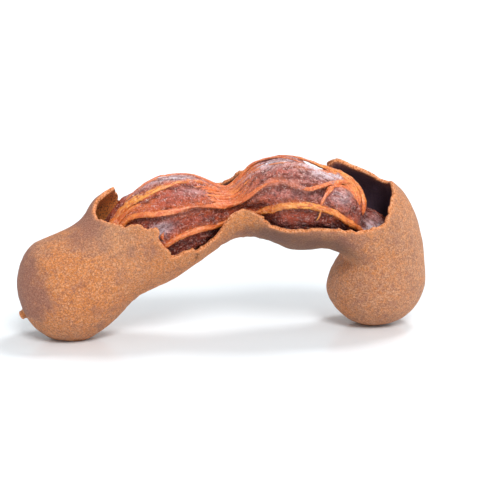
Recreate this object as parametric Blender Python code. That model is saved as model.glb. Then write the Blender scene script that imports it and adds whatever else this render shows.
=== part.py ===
"""Opened tamarind pod: broken shell, sticky pulp and the fibre strands that lie on it."""
import math

import bmesh
import bpy
import numpy as np
from mathutils import Vector
from mathutils.geometry import delaunay_2d_cdt

# ---- the pod's bent axis, millimetres: x, y, z, radius over, radius under, half thickness ----
AXIS_STATIONS = (
    (-51.2, -9.4, 6.5, 14.6, 13.4, 12.6),
    (-38.2, -8.5, 14.0, 15.0, 14.0, 13.0),
    (-28.6, -6.9, 21.2, 12.4, 13.0, 11.6),
    (-17.6, -5.4, 27.4, 13.6, 13.6, 12.4),
    (-6.5, -4.2, 32.1, 11.8, 11.6, 11.2),
    (4.6, -2.6, 34.0, 8.8, 8.6, 9.2),
    (20.6, 0.0, 33.8, 13.6, 12.0, 12.6),
    (33.2, 2.4, 29.8, 15.3, 9.4, 13.4),
    (39.6, 4.8, 22.2, 15.6, 7.6, 13.2),
    (40.9, 6.2, 12.7, 15.0, 12.0, 13.3),
    (40.6, 9.2, -0.2, 13.6, 13.0, 13.0),
)
ORIGIN_X = 1.4
ORIGIN_Y = -1.13
CAP_REACH = 13.0
SHELL_WALL = 1.2
FLAP_FLARE = 2.3
SCALE = 0.001

# ---- torn edge of the shell: distance along the axis, degrees round from the back ridge ----
TORN_EDGE = (
    (36.6, -6), (34.0, 0), (31.6, 5), (30.0, 14), (30.2, 32), (31.2, 42), (32.6, 51), (35.2, 63),
    (36.8, 66), (38.6, 70), (40.2, 77), (41.8, 80), (42.2, 85), (41.2, 91), (41.2, 98), (41.6, 105),
    (42.2, 114), (41.2, 119), (43.2, 122), (46.0, 126), (48.4, 129), (49.3, 136), (50.4, 132),
    (52.0, 133), (54.5, 125), (56.8, 120), (58.0, 108), (59.8, 97), (61.5, 92), (63.0, 88),
    (64.8, 87), (66.2, 92), (66.8, 98), (68.0, 102), (69.3, 111), (70.6, 119), (72.8, 122),
    (75.8, 118), (80.0, 112), (83.5, 106), (86.0, 106), (89.8, 100), (92.8, 90), (94.8, 80),
    (96.2, 68), (96.6, 59), (96.0, 50), (95.4, 42), (96.0, 33), (95.4, 25), (94.8, 16), (95.4, 6),
    (95.0, -4), (93.8, -14), (92.0, -19), (89.8, -23), (87.4, -24), (86.4, -33), (86.8, -43),
    (86.0, -52), (83.0, -56), (78.0, -52), (73.0, -50), (69.0, -42), (66.6, -28), (65.4, -16),
    (63.6, -10), (61.8, -9), (60.6, -17), (59.6, -34), (57.0, -48), (52.0, -58), (46.0, -62),
    (41.0, -62), (37.5, -58), (35.4, -46), (35.4, -34), (36.0, -18),
)

# ---- pulp: distance along the axis, radius over, radius under, half thickness ----
PULP_STATIONS = (
    (5.0, 11.0, 11.0, 9.6),
    (15.0, 12.2, 11.4, 10.6),
    (27.0, 8.2, 9.2, 8.2),
    (33.0, 9.3, 9.8, 8.7),
    (39.0, 12.0, 10.8, 10.6),
    (46.0, 13.0, 10.4, 10.4),
    (53.0, 10.1, 8.6, 8.6),
    (61.0, 5.0, 5.2, 5.6),
    (69.0, 11.1, 8.8, 9.2),
    (76.0, 12.9, 9.6, 10.7),
    (86.0, 11.1, 7.2, 10.3),
    (92.0, 8.6, 6.0, 8.8),
    (95.0, 7.3, 5.2, 7.6),
    (98.5, 8.1, 4.6, 7.6),
    (104.0, 10.2, 4.9, 9.6),
    (112.0, 9.8, 7.8, 10.2),
    (119.0, 8.0, 7.0, 8.6),
)
PULP_CAP = 7.0
PULP_CLEAR = 0.6

# ---- strands: distance along the axis and degrees round, laid on the pulp ----
STRAND_GAP = 0.3
STRAND_SIDES = 7
CREST_PATH = (
    (37.4, 21), (40.0, 24), (43.5, 25), (47.2, 23), (50.5, 19), (54.0, 16), (58.0, 15), (60.6, 21),
    (62.4, 21), (64.6, 17), (67.0, 18), (70.0, 17), (74.2, 18), (78.2, 23), (83.0, 24), (86.4, 14),
    (88.2, 9), (89.7, 12), (90.6, 24), (91.7, 38), (92.7, 50), (94.2, 60),
)
TOP_PATH = (
    (29.4, 47), (32.4, 43), (34.6, 38), (37.0, 36), (40.0, 38), (43.0, 39), (46.8, 39), (50.8, 38),
    (54.8, 38), (57.6, 41), (60.4, 48), (62.4, 49), (64.6, 45), (67.2, 39), (70.0, 36), (75.0, 38),
    (79.0, 40), (84.0, 38), (86.4, 33),
)
MIDDLE_PATH = (
    (30.6, 68), (34.5, 60), (37.5, 58), (39.8, 59), (42.0, 62), (46.5, 68), (50.2, 71), (54.2, 73),
    (57.5, 75), (61.5, 77), (64.2, 74), (66.5, 69), (68.5, 66), (70.5, 63), (74.2, 62), (78.0, 63),
    (81.4, 60), (83.8, 52), (85.6, 46), (88.0, 36),
)
LOWER_PATH = (
    (38.6, 109), (41.5, 107), (43.5, 106), (45.8, 106), (48.5, 108), (51.5, 109), (54.2, 110),
    (58.0, 110), (61.0, 106), (64.2, 100), (67.0, 96), (68.8, 91), (71.2, 87), (73.8, 84),
    (78.5, 81), (83.8, 80), (87.8, 82), (92.0, 84), (95.5, 83), (97.2, 82),
)
LINK_PATH = ((82.6, 80), (83.2, 74), (83.8, 68), (84.6, 62))

SHELL_ROWS_MID = 40
SHELL_ROWS_CAP = 7
SHELL_AROUND = 30
PULP_ROWS = 54
PULP_AROUND = 26


def clear_scene():
    """An empty scene to build in."""
    for item in list(bpy.data.objects):
        bpy.data.objects.remove(item, do_unlink=True)


def spline(at, knots, values):
    """Cubic through the values, its slope at each knot the weighted mean of its neighbours'."""
    knots = np.asarray(knots, float)
    values = np.asarray(values, float)
    gap = np.diff(knots)[:, None]
    rate = np.diff(values, axis=0) / gap
    slope = np.empty_like(values)
    slope[1:-1] = (rate[:-1] * gap[1:] + rate[1:] * gap[:-1]) / (gap[1:] + gap[:-1])
    slope[0] = 1.5 * rate[0] - 0.5 * slope[1]
    slope[-1] = 1.5 * rate[-1] - 0.5 * slope[-2]
    cell = np.clip(np.searchsorted(knots, at, side="right") - 1, 0, len(knots) - 2)
    step = gap[cell]
    u = ((at - knots[cell]) / step[:, 0])[:, None]
    start = (2 * u**3 - 3 * u**2 + 1) * values[cell] + (u**3 - 2 * u**2 + u) * step * slope[cell]
    stop = (3 * u**2 - 2 * u**3) * values[cell + 1] + (u**3 - u**2) * step * slope[cell + 1]
    return start + stop


def axis_knots():
    """Distance along the axis at each station."""
    centres = np.array(AXIS_STATIONS)[:, :3]
    hops = np.linalg.norm(np.diff(centres, axis=0), axis=1)
    return np.concatenate([[0.0], np.cumsum(hops)])


def frames(along):
    """Station values and the three directions (onward, over, front) at distances along the axis."""
    knots = axis_knots()
    total = knots[-1]
    inside = np.clip(along, 0.0, total)
    values = spline(inside, knots, AXIS_STATIONS)
    ahead = spline(np.clip(inside + 0.05, 0, total), knots, AXIS_STATIONS)[:, :3]
    behind = spline(np.clip(inside - 0.05, 0, total), knots, AXIS_STATIONS)[:, :3]
    onward = ahead - behind
    onward /= np.linalg.norm(onward, axis=1)[:, None]
    front = np.array([0.0, -1.0, 0.0])
    front = front - (onward @ front)[:, None] * onward
    front /= np.linalg.norm(front, axis=1)[:, None]
    over = np.cross(front, onward)
    centre = values[:, :3] + (along - inside)[:, None] * onward
    return centre, values[:, 3:], onward, over, front


def smooth(value):
    """Eased step from 0 to 1."""
    value = np.clip(value, 0.0, 1.0)
    return value * value * (3 - 2 * value)


def ring_radius(angle, over, under, side):
    """Radius parts along over and front for one egg-shaped ring."""
    tall = np.where(np.cos(angle) > 0, over, under)
    return tall * np.cos(angle), side * np.sin(angle)


def flap_lift(along, angle):
    """Outward bend of the raised flap of shell, of the curled lip and of the broken neck edge."""
    turn = np.degrees(np.angle(np.exp(1j * angle)))
    flap = smooth((along - 26.5) / 9.0) * smooth((38.5 - along) / 2.0)
    flap = flap * smooth((48 - np.abs(turn + 14)) / 34)
    lip = np.exp(-(((along - 87.2) / 2.2) ** 2) - ((turn + 27) / 10.0) ** 2)
    neck = np.exp(-(((along - 62.6) / 2.6) ** 2) - ((turn + 14) / 16.0) ** 2)
    return FLAP_FLARE * flap + 1.3 * lip + 0.8 * neck


def shell_points(along, angle, shrink, extra=0.0):
    """Points of the shell's outside; shrink closes the two round ends."""
    centre, radii, onward, over, front = frames(along)
    up, out = ring_radius(angle, radii[:, 0], radii[:, 1], radii[:, 2])
    ring = np.hypot(up, out) + 1e-9
    grow = shrink * (1 + (flap_lift(along, angle) + extra) / ring)
    points = centre + (up * grow)[:, None] * over + (out * grow)[:, None] * front
    points[:, 2] = np.maximum(points[:, 2], 0.0)
    return points


def place(points):
    """Millimetre points moved so the box is centred, in metres."""
    return (points - np.array([ORIGIN_X, ORIGIN_Y, 0.0])) * SCALE


def end_shrink(along, total, reach):
    """Round ends: the ring shrinks to nothing over the last reach."""
    first = np.clip(1 - along / reach, 0, 1)
    last = np.clip(1 - (total - along) / reach, 0, 1)
    return np.sqrt(np.clip(1 - first**2, 0, 1)) * np.sqrt(np.clip(1 - last**2, 0, 1))


def row_from_girth(girth, total):
    """Axis distance of a row measured over the surface, stub of stalk included."""
    quarter = CAP_REACH * math.pi / 2
    full = total - 2 * CAP_REACH + 2 * quarter
    first = CAP_REACH * (1 - np.cos(np.clip(girth, 0, quarter) / CAP_REACH))
    last = CAP_REACH * (1 - np.cos(np.clip(full - girth, 0, quarter) / CAP_REACH))
    middle = girth - quarter + CAP_REACH
    along = np.where(girth < quarter, first, middle)
    return np.where(girth > full - quarter, total - last, along)


def closed_outline(corners, step):
    """The outline with points added so that no side is longer than step."""
    made = []
    for here, there in zip(corners, corners[1:] + corners[:1]):
        length = math.hypot(there[0] - here[0], there[1] - here[1])
        count = max(1, math.ceil(length / step))
        for part in range(count):
            share = part / count
            made.append((here[0] + (there[0] - here[0]) * share,
                         here[1] + (there[1] - here[1]) * share))
    return made


def edge_distance(points, outline):
    """Distance of each point from the outline, and whether it lies inside it."""
    start = np.array(outline)
    stop = np.roll(start, -1, axis=0)
    side = stop - start
    reach = points[:, None, :] - start[None]
    share = np.clip((reach * side).sum(-1) / (side * side).sum(-1), 0, 1)
    away = np.linalg.norm(reach - share[..., None] * side, axis=-1).min(axis=1)
    above = (start[None, :, 1] > points[:, None, 1]) != (stop[None, :, 1] > points[:, None, 1])
    rise = np.where(side[:, 1] == 0, 1e-9, side[:, 1])
    cross = start[:, 0] + (points[:, None, 1] - start[:, 1]) / rise * side[:, 0]
    inside = (above & (points[:, None, 0] < cross)).sum(axis=1) % 2 == 1
    return away, inside


def shell_sheet():
    """The shell's outside as a sheet in two measures, torn edge cut, then bent into place."""
    total = axis_knots()[-1]
    quarter = CAP_REACH * math.pi / 2
    full = total - 2 * CAP_REACH + 2 * quarter
    width = 12.0
    rows = np.concatenate([
        np.linspace(1.6, quarter, SHELL_ROWS_CAP, endpoint=False),
        np.linspace(quarter, full - quarter, SHELL_ROWS_MID, endpoint=False),
        np.linspace(full - quarter, full, SHELL_ROWS_CAP + 1),
    ])
    turns = np.linspace(-math.pi, math.pi, SHELL_AROUND + 1)
    grid_row, grid_turn = np.meshgrid(rows, turns, indexing="ij")
    flat = np.stack([grid_row.ravel(), grid_turn.ravel() * width], -1)
    shift = quarter - CAP_REACH
    corners = [(a + shift, math.radians(t) * width) for a, t in TORN_EDGE]
    outline = closed_outline(corners, 1.7)
    away, inside = edge_distance(flat, outline)
    keep = flat[~inside & (away > 0.85)]
    low = rows[0]
    border = [(low, -math.pi * width), (full, -math.pi * width),
              (full, math.pi * width), (low, math.pi * width)]
    verts = [Vector(p) for p in keep.tolist()] + [Vector(p) for p in outline]
    first = len(keep)
    count = len(outline)
    edges = [(first + i, first + (i + 1) % count) for i in range(count)]
    sheet = delaunay_2d_cdt(verts, edges, [], 0, 1e-5)
    flat_out = np.array([(v[0], v[1]) for v in sheet[0]])
    faces = np.array([list(f) for f in sheet[2]])
    middle = flat_out[faces].mean(axis=1)
    away, inside = edge_distance(middle, outline)
    faces = faces[~inside]
    along = row_from_girth(flat_out[:, 0], total)
    angle = flat_out[:, 1] / width
    points = shell_points(along, angle, end_shrink(along, total, CAP_REACH))
    return place(points), faces.tolist(), border


def stub_rows(mesh_data):
    """A short round stub of stalk on the first end, closing the sheet there."""
    total = axis_knots()[-1]
    angle = np.linspace(-math.pi, math.pi, SHELL_AROUND, endpoint=False)
    rows = ((-1.4, 0.35), (-1.42, 0.95), (-1.0, 1.25), (-0.3, 1.25))
    for reach, radius in rows:
        along = np.full(SHELL_AROUND, reach)
        centre, radii, onward, over, front = frames(along)
        ring = (np.cos(angle) * radius)[:, None] * over + (np.sin(angle) * radius)[:, None] * front
        mesh_data.append(place(centre + ring))
    return total


def mesh_object(name, points, faces, colour, rough):
    """One named mesh with its own plain material."""
    mesh = bpy.data.meshes.new(name)
    mesh.from_pydata([tuple(p) for p in points], [], faces)
    work = bmesh.new()
    work.from_mesh(mesh)
    bmesh.ops.remove_doubles(work, verts=work.verts, dist=0.00002)
    bmesh.ops.dissolve_degenerate(work, edges=work.edges, dist=0.000005)
    bmesh.ops.recalc_face_normals(work, faces=work.faces)
    work.to_mesh(mesh)
    work.free()
    mesh.update()
    item = bpy.data.objects.new(name, mesh)
    bpy.context.scene.collection.objects.link(item)
    material = bpy.data.materials.new(name + "_material")
    material.use_nodes = True
    shader = material.node_tree.nodes["Principled BSDF"]
    shader.inputs["Base Color"].default_value = colour
    shader.inputs["Roughness"].default_value = rough
    mesh.materials.append(material)
    return item


def build_shell():
    """The brittle shell: sheet, stalk stub, then wall thickness inward."""
    points, faces, border = shell_sheet()
    rings = []
    stub_rows(rings)
    around = SHELL_AROUND
    base = len(points)
    stack = np.concatenate(rings)
    angle = np.linspace(-math.pi, math.pi, around, endpoint=False)
    total = axis_knots()[-1]
    low = row_from_girth(np.full(around, border[0][0]), total)
    collar = place(shell_points(low, angle, end_shrink(low, total, CAP_REACH)))
    centre = place(frames(np.array([-1.35]))[0])
    points = np.concatenate([points, stack, collar, centre])
    levels = len(rings) + 1
    for level in range(levels - 1):
        for i in range(around):
            j = (i + 1) % around
            row = base + level * around
            faces.append([row + i, row + j, row + around + j, row + around + i])
    tip = len(points) - 1
    for i in range(around):
        faces.append([tip, base + i, base + (i + 1) % around])
    item = mesh_object("shell", points, faces, (0.36, 0.19, 0.10, 1.0), 0.75)
    wall = item.modifiers.new("wall", "SOLIDIFY")
    wall.thickness = SHELL_WALL * SCALE
    wall.offset = -1.0
    wall.use_rim = True
    wall.use_even_offset = False
    return item


def pulp_ring(along, angle, extra=0.0):
    """Centre and offsets of the pulp's surface, kept inside the shell away from the opening."""
    centre, radii, onward, over, front = frames(along)
    knots = [row[0] for row in PULP_STATIONS]
    held = np.clip(along, knots[0], knots[-1])
    size = spline(held, knots, [row[1:] for row in PULP_STATIONS])
    up, out = ring_radius(angle, size[:, 0], size[:, 1], size[:, 2])
    wide = np.hypot(up, out) + 1e-9
    shell_up, shell_out = ring_radius(angle, radii[:, 0], radii[:, 1], radii[:, 2])
    # the shell's radius in the pulp's own direction
    lean_up = up / wide
    lean_out = out / wide
    tall = np.where(np.cos(angle) > 0, radii[:, 0], radii[:, 1])
    room = 1 / np.sqrt((lean_up / tall) ** 2 + (lean_out / radii[:, 2]) ** 2)
    turn = np.degrees(np.angle(np.exp(1j * angle)))
    bare = smooth((64 - np.abs(turn - 30)) / 26) * smooth((along - 34) / 5) * smooth((97 - along) / 4)
    groove = smooth((40 - np.abs(turn - 110)) / 20)
    sunk = groove * smooth((along - 33) / 5) * smooth((74 - along) / 5)
    limit = room - SHELL_WALL - PULP_CLEAR + 3.2 * bare * (1 - sunk) - 1.9 * sunk
    mix = np.clip(0.5 + 0.5 * (limit - wide) / 0.8, 0, 1)
    radius = limit * (1 - mix) + wide * mix - 0.8 * mix * (1 - mix)
    reach = radius + extra
    return centre + (lean_up * reach)[:, None] * over + (lean_out * reach)[:, None] * front


def pulp_cap(along):
    """Rounded ends of the pulp."""
    first = PULP_STATIONS[0][0]
    last = PULP_STATIONS[-1][0]
    start = np.clip(1 - (along - first) / PULP_CAP, 0, 1)
    stop = np.clip(1 - (last - along) / PULP_CAP, 0, 1)
    return np.sqrt(np.clip(1 - start**2, 0, 1)) * np.sqrt(np.clip(1 - stop**2, 0, 1))


def build_pulp():
    """The sticky pulp: one closed lumpy body along the axis."""
    first = PULP_STATIONS[0][0]
    last = PULP_STATIONS[-1][0]
    cap = PULP_CAP * (1 - np.cos(np.linspace(0.12, math.pi / 2, 5, endpoint=False)))
    rows = np.concatenate([
        first + cap,
        np.linspace(first + PULP_CAP, last - PULP_CAP, PULP_ROWS),
        last - cap[::-1],
    ])
    turns = np.linspace(-math.pi, math.pi, PULP_AROUND, endpoint=False)
    along, angle = np.meshgrid(rows, turns, indexing="ij")
    along = along.ravel()
    angle = angle.ravel()
    ring = pulp_ring(along, angle)
    centre = frames(along)[0]
    points = centre + (ring - centre) * pulp_cap(along)[:, None]
    poles = frames(np.array([first, last]))[0]
    points = np.concatenate([points, poles])
    around = PULP_AROUND
    faces = []
    for row in range(len(rows) - 1):
        for i in range(around):
            j = (i + 1) % around
            here = row * around
            faces.append([here + i, here + j, here + around + j, here + around + i])
    start = len(points) - 2
    stop = len(points) - 1
    top = (len(rows) - 1) * around
    for i in range(around):
        j = (i + 1) % around
        faces.append([start, i, j])
        faces.append([stop, top + j, top + i])
    return mesh_object("pulp", place(points), faces, (0.09, 0.03, 0.025, 1.0), 0.35)


def strand_tube(name, path, radius, start_thin=0.45, end_thin=0.45, spacing=1.9, lift=0.0):
    """One round fibre strand laid over the pulp, thinning to its two ends."""
    path = np.array(path, float)
    hops = np.hypot(np.diff(path[:, 0]), np.radians(np.diff(path[:, 1])) * 11.0)
    knots = np.concatenate([[0.0], np.cumsum(hops)])
    count = max(4, int(round(knots[-1] / spacing)) + 1)
    at = np.linspace(0.0, knots[-1], count)
    track = spline(at, knots, path)
    share = at / knots[-1]
    thick = radius * (start_thin + (1 - start_thin) * smooth(share / 0.12))
    thick = thick * (end_thin + (1 - end_thin) * smooth((1 - share) / 0.12))
    middle = pulp_ring(track[:, 0], np.radians(track[:, 1]), STRAND_GAP + radius + lift)
    inner = pulp_ring(track[:, 0], np.radians(track[:, 1]), 0.0)
    out = middle - inner
    out /= np.linalg.norm(out, axis=1)[:, None]
    onward = np.gradient(middle, axis=0)
    onward /= np.linalg.norm(onward, axis=1)[:, None]
    side = np.cross(out, onward)
    side /= np.linalg.norm(side, axis=1)[:, None]
    out = np.cross(onward, side)
    turns = np.linspace(0, 2 * math.pi, STRAND_SIDES, endpoint=False)
    ring = np.cos(turns)[None, :, None] * out[:, None] + np.sin(turns)[None, :, None] * side[:, None]
    points = middle[:, None] + ring * thick[:, None, None]
    points = points.reshape(-1, 3)
    first = middle[0] - onward[0] * thick[0] * 0.5
    last = middle[-1] + onward[-1] * thick[-1] * 0.5
    points = np.concatenate([points, [first, last]])
    sides = STRAND_SIDES
    faces = []
    for row in range(count - 1):
        for i in range(sides):
            j = (i + 1) % sides
            here = row * sides
            faces.append([here + i, here + j, here + sides + j, here + sides + i])
    start = len(points) - 2
    stop = len(points) - 1
    top = (count - 1) * sides
    for i in range(sides):
        j = (i + 1) % sides
        faces.append([start, i, j])
        faces.append([stop, top + j, top + i])
    return mesh_object(name, place(points), faces, (0.62, 0.25, 0.06, 1.0), 0.5)


def build_strands():
    """Four strands; the lowest carries a short link that climbs over the seed bump."""
    strand_tube("strand_crest", CREST_PATH, 0.55)
    strand_tube("strand_top", TOP_PATH, 0.65)
    strand_tube("strand_middle", MIDDLE_PATH, 0.6)
    lower = strand_tube("strand_lower", LOWER_PATH, 0.75, lift=0.35)
    link = strand_tube("strand_link_guide", LINK_PATH, 0.5, 1.0, 0.6, 1.2, lift=0.3)
    join = lower.modifiers.new("link", "BOOLEAN")
    join.operation = "UNION"
    join.solver = "EXACT"
    join.object = link
    link.hide_render = True
    link.display_type = "WIRE"


def main():
    """Build every piece of the pod."""
    clear_scene()
    build_shell()
    build_pulp()
    build_strands()


main()
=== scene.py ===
import math

import bmesh
import bpy
import numpy as np
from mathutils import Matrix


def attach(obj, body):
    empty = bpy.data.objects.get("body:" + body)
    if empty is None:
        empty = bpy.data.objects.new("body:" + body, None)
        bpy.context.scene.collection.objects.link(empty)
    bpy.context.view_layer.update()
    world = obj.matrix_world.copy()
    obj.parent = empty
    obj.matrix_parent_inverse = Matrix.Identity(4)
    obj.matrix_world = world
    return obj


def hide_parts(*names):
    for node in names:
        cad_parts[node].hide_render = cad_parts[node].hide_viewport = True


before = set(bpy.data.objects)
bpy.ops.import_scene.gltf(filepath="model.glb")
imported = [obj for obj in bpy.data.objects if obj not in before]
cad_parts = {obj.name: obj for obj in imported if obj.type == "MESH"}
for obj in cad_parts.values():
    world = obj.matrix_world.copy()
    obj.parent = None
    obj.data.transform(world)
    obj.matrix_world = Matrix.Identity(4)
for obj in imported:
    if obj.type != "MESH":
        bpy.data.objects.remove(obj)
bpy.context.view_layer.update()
print("frame loaded, nodes:", ", ".join(sorted(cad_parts)))

# The pod is described along its bent axis, in millimetres. "along" is the distance on the axis
# from the stalk end, "turn" the angle round it: 0 on the back ridge, 90 degrees at the front.
pod = {
    # x, y, z, radius over, radius under, half thickness
    "stations": np.array([
        (-51.2, -9.4, 6.5, 14.6, 13.4, 12.6), (-38.2, -8.5, 14, 15, 14, 13),
        (-28.6, -6.9, 21.2, 12.4, 13, 11.6), (-17.6, -5.4, 27.4, 13.6, 13.6, 12.4),
        (-6.5, -4.2, 32.1, 11.8, 11.6, 11.2), (4.6, -2.6, 34, 8.8, 8.6, 9.2),
        (20.6, 0, 33.8, 13.6, 12, 12.6), (33.2, 2.4, 29.8, 15.3, 9.4, 13.4),
        (39.6, 4.8, 22.2, 15.6, 7.6, 13.2), (40.9, 6.2, 12.7, 15, 12, 13.3),
        (40.6, 9.2, -0.2, 13.6, 13, 13)
    ]),
    "boxCentre": np.array([1.4, -1.13, 0.0]),
    "capReach": 13.0,          # length of the round ends
    "wall": 1.2,
    "metre": 0.001,
    "axisStep": 0.05,          # half steps that give the axis direction and the normals
    "alongStep": 0.06,
    "turnStep": 0.006,
    "flapFlare": 2.3,
    "flap": (-14, 48, 34, 26.5, 9, 38.5, 2),    # a window, see below
    # other places where the shell bends outward: along, reach, degrees, reach, height
    "bulges": (
        (87.2, 2.2, -27, 10, 1.1),     # curled lip on the back edge
        (30.2, 3.6, -4, 24, 1.5),      # root of the flap
        (97.4, 3.4, -6, 42, 0.7),      # shoulder beside the tear
        (106.0, 5.0, -4, 50, -1.0),    # flatter cheek after it
        (64.8, 1.8, -12, 14, 0.6),     # broken neck edge
    ),
}


def easeStep(value):  # 0 to 1 with flat ends: 3v^2 - 2v^3
    value = np.clip(value, 0.0, 1.0)
    return value * value * (3 - 2 * value)


def rise(value, start, over):  # 0 up to start, then eased to 1
    return easeStep((value - start) / over)


def fall(value, stop, over):  # eased from 1 down to 0 at stop
    return easeStep((stop - value) / over)


def band(value, start, up, stop, down):  # a rise times a fall
    return rise(value, start, up) * fall(value, stop, down)


# Middle, half width and fade in degrees, then a band on the axis: start, up, stop, down.
def window(along, degrees, middle, half, fade, *stretch):
    return fall(np.abs(degrees - middle), half, fade) * band(along, *stretch)


def softBump(value, middle, width):  # bell: e to the minus squared distance over squared width
    return np.exp(-((value - middle) / width) ** 2)


# Soft oval patches on the surface, one array for each row of
# along, reach, degrees, reach, strength.
def patches(along, degrees, rows):
    return [strength * softBump(along, place, reach) * softBump(degrees, angle, width)
            for place, reach, angle, width, strength in rows]


def unit(vectors):  # each row divided by its length
    return vectors / (np.linalg.norm(vectors, axis=1)[:, None] + 1e-12)


def runningLength(steps):  # 0, then the length of the steps so far
    return np.concatenate([[0.0], np.cumsum(np.linalg.norm(steps, axis=1))])


def circleTurns(sides, start=0.0):  # even turns, the last one short of the first
    return np.linspace(start, start + 2 * math.pi, sides, endpoint=False)


# Cubic through the values; the slope at a knot is the weighted mean of its neighbours' rates.
def splineThrough(at, knots, values):
    gap = np.diff(knots)[:, None]
    rate = np.diff(values, axis=0) / gap
    slope = np.empty_like(values)
    slope[1:-1] = (rate[:-1] * gap[1:] + rate[1:] * gap[:-1]) / (gap[1:] + gap[:-1])
    slope[0] = 1.5 * rate[0] - 0.5 * slope[1]
    slope[-1] = 1.5 * rate[-1] - 0.5 * slope[-2]
    cell = np.clip(np.searchsorted(knots, at, side="right") - 1, 0, len(knots) - 2)
    step = gap[cell]
    u = ((at - knots[cell]) / step[:, 0])[:, None]
    start = (2 * u**3 - 3 * u**2 + 1) * values[cell] + (u**3 - 2 * u**2 + u) * step * slope[cell]
    stop = (3 * u**2 - 2 * u**3) * values[cell + 1] + (u**3 - u**2) * step * slope[cell + 1]
    return start + stop


axisKnots = runningLength(np.diff(pod["stations"][:, :3], axis=0))
axisLength = axisKnots[-1]


# Axis point, station radii and the three directions there: onward, over (to the back ridge)
# and front. Front is the viewer's side made square to onward; over is front cross onward.
def podFrames(along):
    inside = np.clip(along, 0.0, axisLength)
    values = splineThrough(inside, axisKnots, pod["stations"])
    ahead, behind = (splineThrough(np.clip(inside + step, 0, axisLength), axisKnots, pod["stations"])
                     for step in (pod["axisStep"], -pod["axisStep"]))
    onward = unit(ahead[:, :3] - behind[:, :3])
    front = np.array([0.0, -1.0, 0.0])
    front = unit(front - (onward @ front)[:, None] * onward)
    over = np.cross(front, onward)
    centre = values[:, :3] + (along - inside)[:, None] * onward
    return centre, values[:, 3:], onward, over, front


# An egg-shaped ring: one radius over the axis, one under it, one to the sides.
def ringParts(turn, over, under, side):
    tall = np.where(np.cos(turn) > 0, over, under)
    return tall * np.cos(turn), side * np.sin(turn)


def wrapDegrees(turn):  # from -180 to 180
    return np.degrees(np.angle(np.exp(1j * turn)))


# How far the shell bends outward: the raised flap and the smaller bulges.
def flapLift(along, turn):
    degrees = wrapDegrees(turn)
    return (pod["flapFlare"] * window(along, degrees, *pod["flap"])
            + sum(patches(along, degrees, pod["bulges"])))


def endShrink(along, start, stop, reach):  # quarter-circle ends: root of 1 minus the square
    first = np.clip(1 - (along - start) / reach, 0, 1)
    last = np.clip(1 - (stop - along) / reach, 0, 1)
    return np.sqrt(np.clip(1 - first**2, 0, 1)) * np.sqrt(np.clip(1 - last**2, 0, 1))


# Shell surface: axis point plus the egg ring, shrunk at the ends, plus the outward bend.
def shellPoints(along, turn):
    centre, radii, _, over, front = podFrames(along)
    up, out = ringParts(turn, radii[:, 0], radii[:, 1], radii[:, 2])
    ring = np.hypot(up, out) + 1e-9
    grow = endShrink(along, 0, axisLength, pod["capReach"]) * (1 + flapLift(along, turn) / ring)
    return centre + (up * grow)[:, None] * over + (out * grow)[:, None] * front


def inMetres(points):  # about the middle of the box's base
    return (points - pod["boxCentre"]) * pod["metre"]


hashing = {"shift": 311.7, "axes": (374761393, 668265263, 2147483647), "seed": 144665,
           "mix": 1274126177, "mask": 0xFFFFFF, "half": 8388607.5}


# Smooth lattice noise from -1 to 1: a hashed value at each corner, eased between corners.
def latticeNoise(points, size, seed):
    spot = points / size + hashing["shift"]
    corner = np.floor(spot).astype(np.int64)
    part = easeStep(spot - corner)
    total = np.zeros(len(points))
    for hop in np.ndindex(2, 2, 2):
        mixed = ((corner + hop) * hashing["axes"]).sum(axis=1) + seed * hashing["seed"]
        mixed = (mixed ^ (mixed >> 13)) * hashing["mix"]
        mixed = (mixed ^ (mixed >> 16)) & hashing["mask"]
        weight = np.where(hop, part, 1 - part).prod(axis=1)
        total += weight * (mixed / hashing["half"] - 1)
    return total


def layeredNoise(points, size, seed, layers=3, fade=0.5):  # each layer half the size
    return sum(fade**layer * latticeNoise(points, size / 2**layer, seed + 17 * layer)
               for layer in range(layers))


# Unit normals of a surface given as a function of along and turn, by small differences.
def surfaceNormals(surface, along, turn):
    hop, swing = pod["alongStep"], pod["turnStep"]
    ahead = surface(along + hop, turn) - surface(along - hop, turn)
    aside = surface(along, turn + swing) - surface(along, turn - swing)
    normal = unit(np.cross(ahead, aside))
    outward = surface(along, turn) - podFrames(along)[0]
    return normal * np.sign((normal * outward).sum(axis=1) + 1e-12)[:, None]


# Quads of a grid that closes round on itself: rows by columns, last column joined to the first.
def roundGridFaces(rows, columns):
    row, column = np.meshgrid(np.arange(rows - 1), np.arange(columns), indexing="ij")
    following = (column + 1) % columns
    here = row * columns
    return np.stack([here + column, here + following, here + columns + following,
                     here + columns + column], -1).reshape(-1, 4)


def fanFaces(tip, ring, flip):  # triangles from a tip vertex to a closed ring
    following = np.roll(ring, -1)
    sides = (following, ring) if flip else (ring, following)
    return np.stack([np.full(len(ring), tip), *sides], -1)


# Faces of a round grid that is followed by its two tips: the quads and the fans that close it.
def closedFaces(rows, columns):
    loop = np.arange(columns)
    count = rows * columns
    return roundGridFaces(rows, columns), np.concatenate([
        fanFaces(count, loop, True), fanFaces(count + 1, loop + count - columns, False)])


# distances in metres at which points merge and slivers go
meshFinish = {"weld": 0.000004, "sliver": 0.000002, "uvScale": 0.01}


# Corner UVs of a closed grid laid out flat. A face wider than limit crosses the seam, and its
# corners below split move on by one circle. The fans at the tips may be left as they are.
def closedUv(flat, quads, triangles, circle, limit, split=0.0, fans=True):
    corner = np.concatenate([flat[quads.ravel()], flat[triangles.ravel()]])
    crossing = [np.repeat(np.ptp(flat[faces][:, :, 1], axis=1) > limit, faces.shape[1])
                for faces in (quads, triangles)]
    crossing = np.concatenate([crossing[0], crossing[1] & fans])
    corner[:, 1] += np.where(crossing & (corner[:, 1] < split), circle, 0.0)
    return corner * meshFinish["uvScale"]


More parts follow.
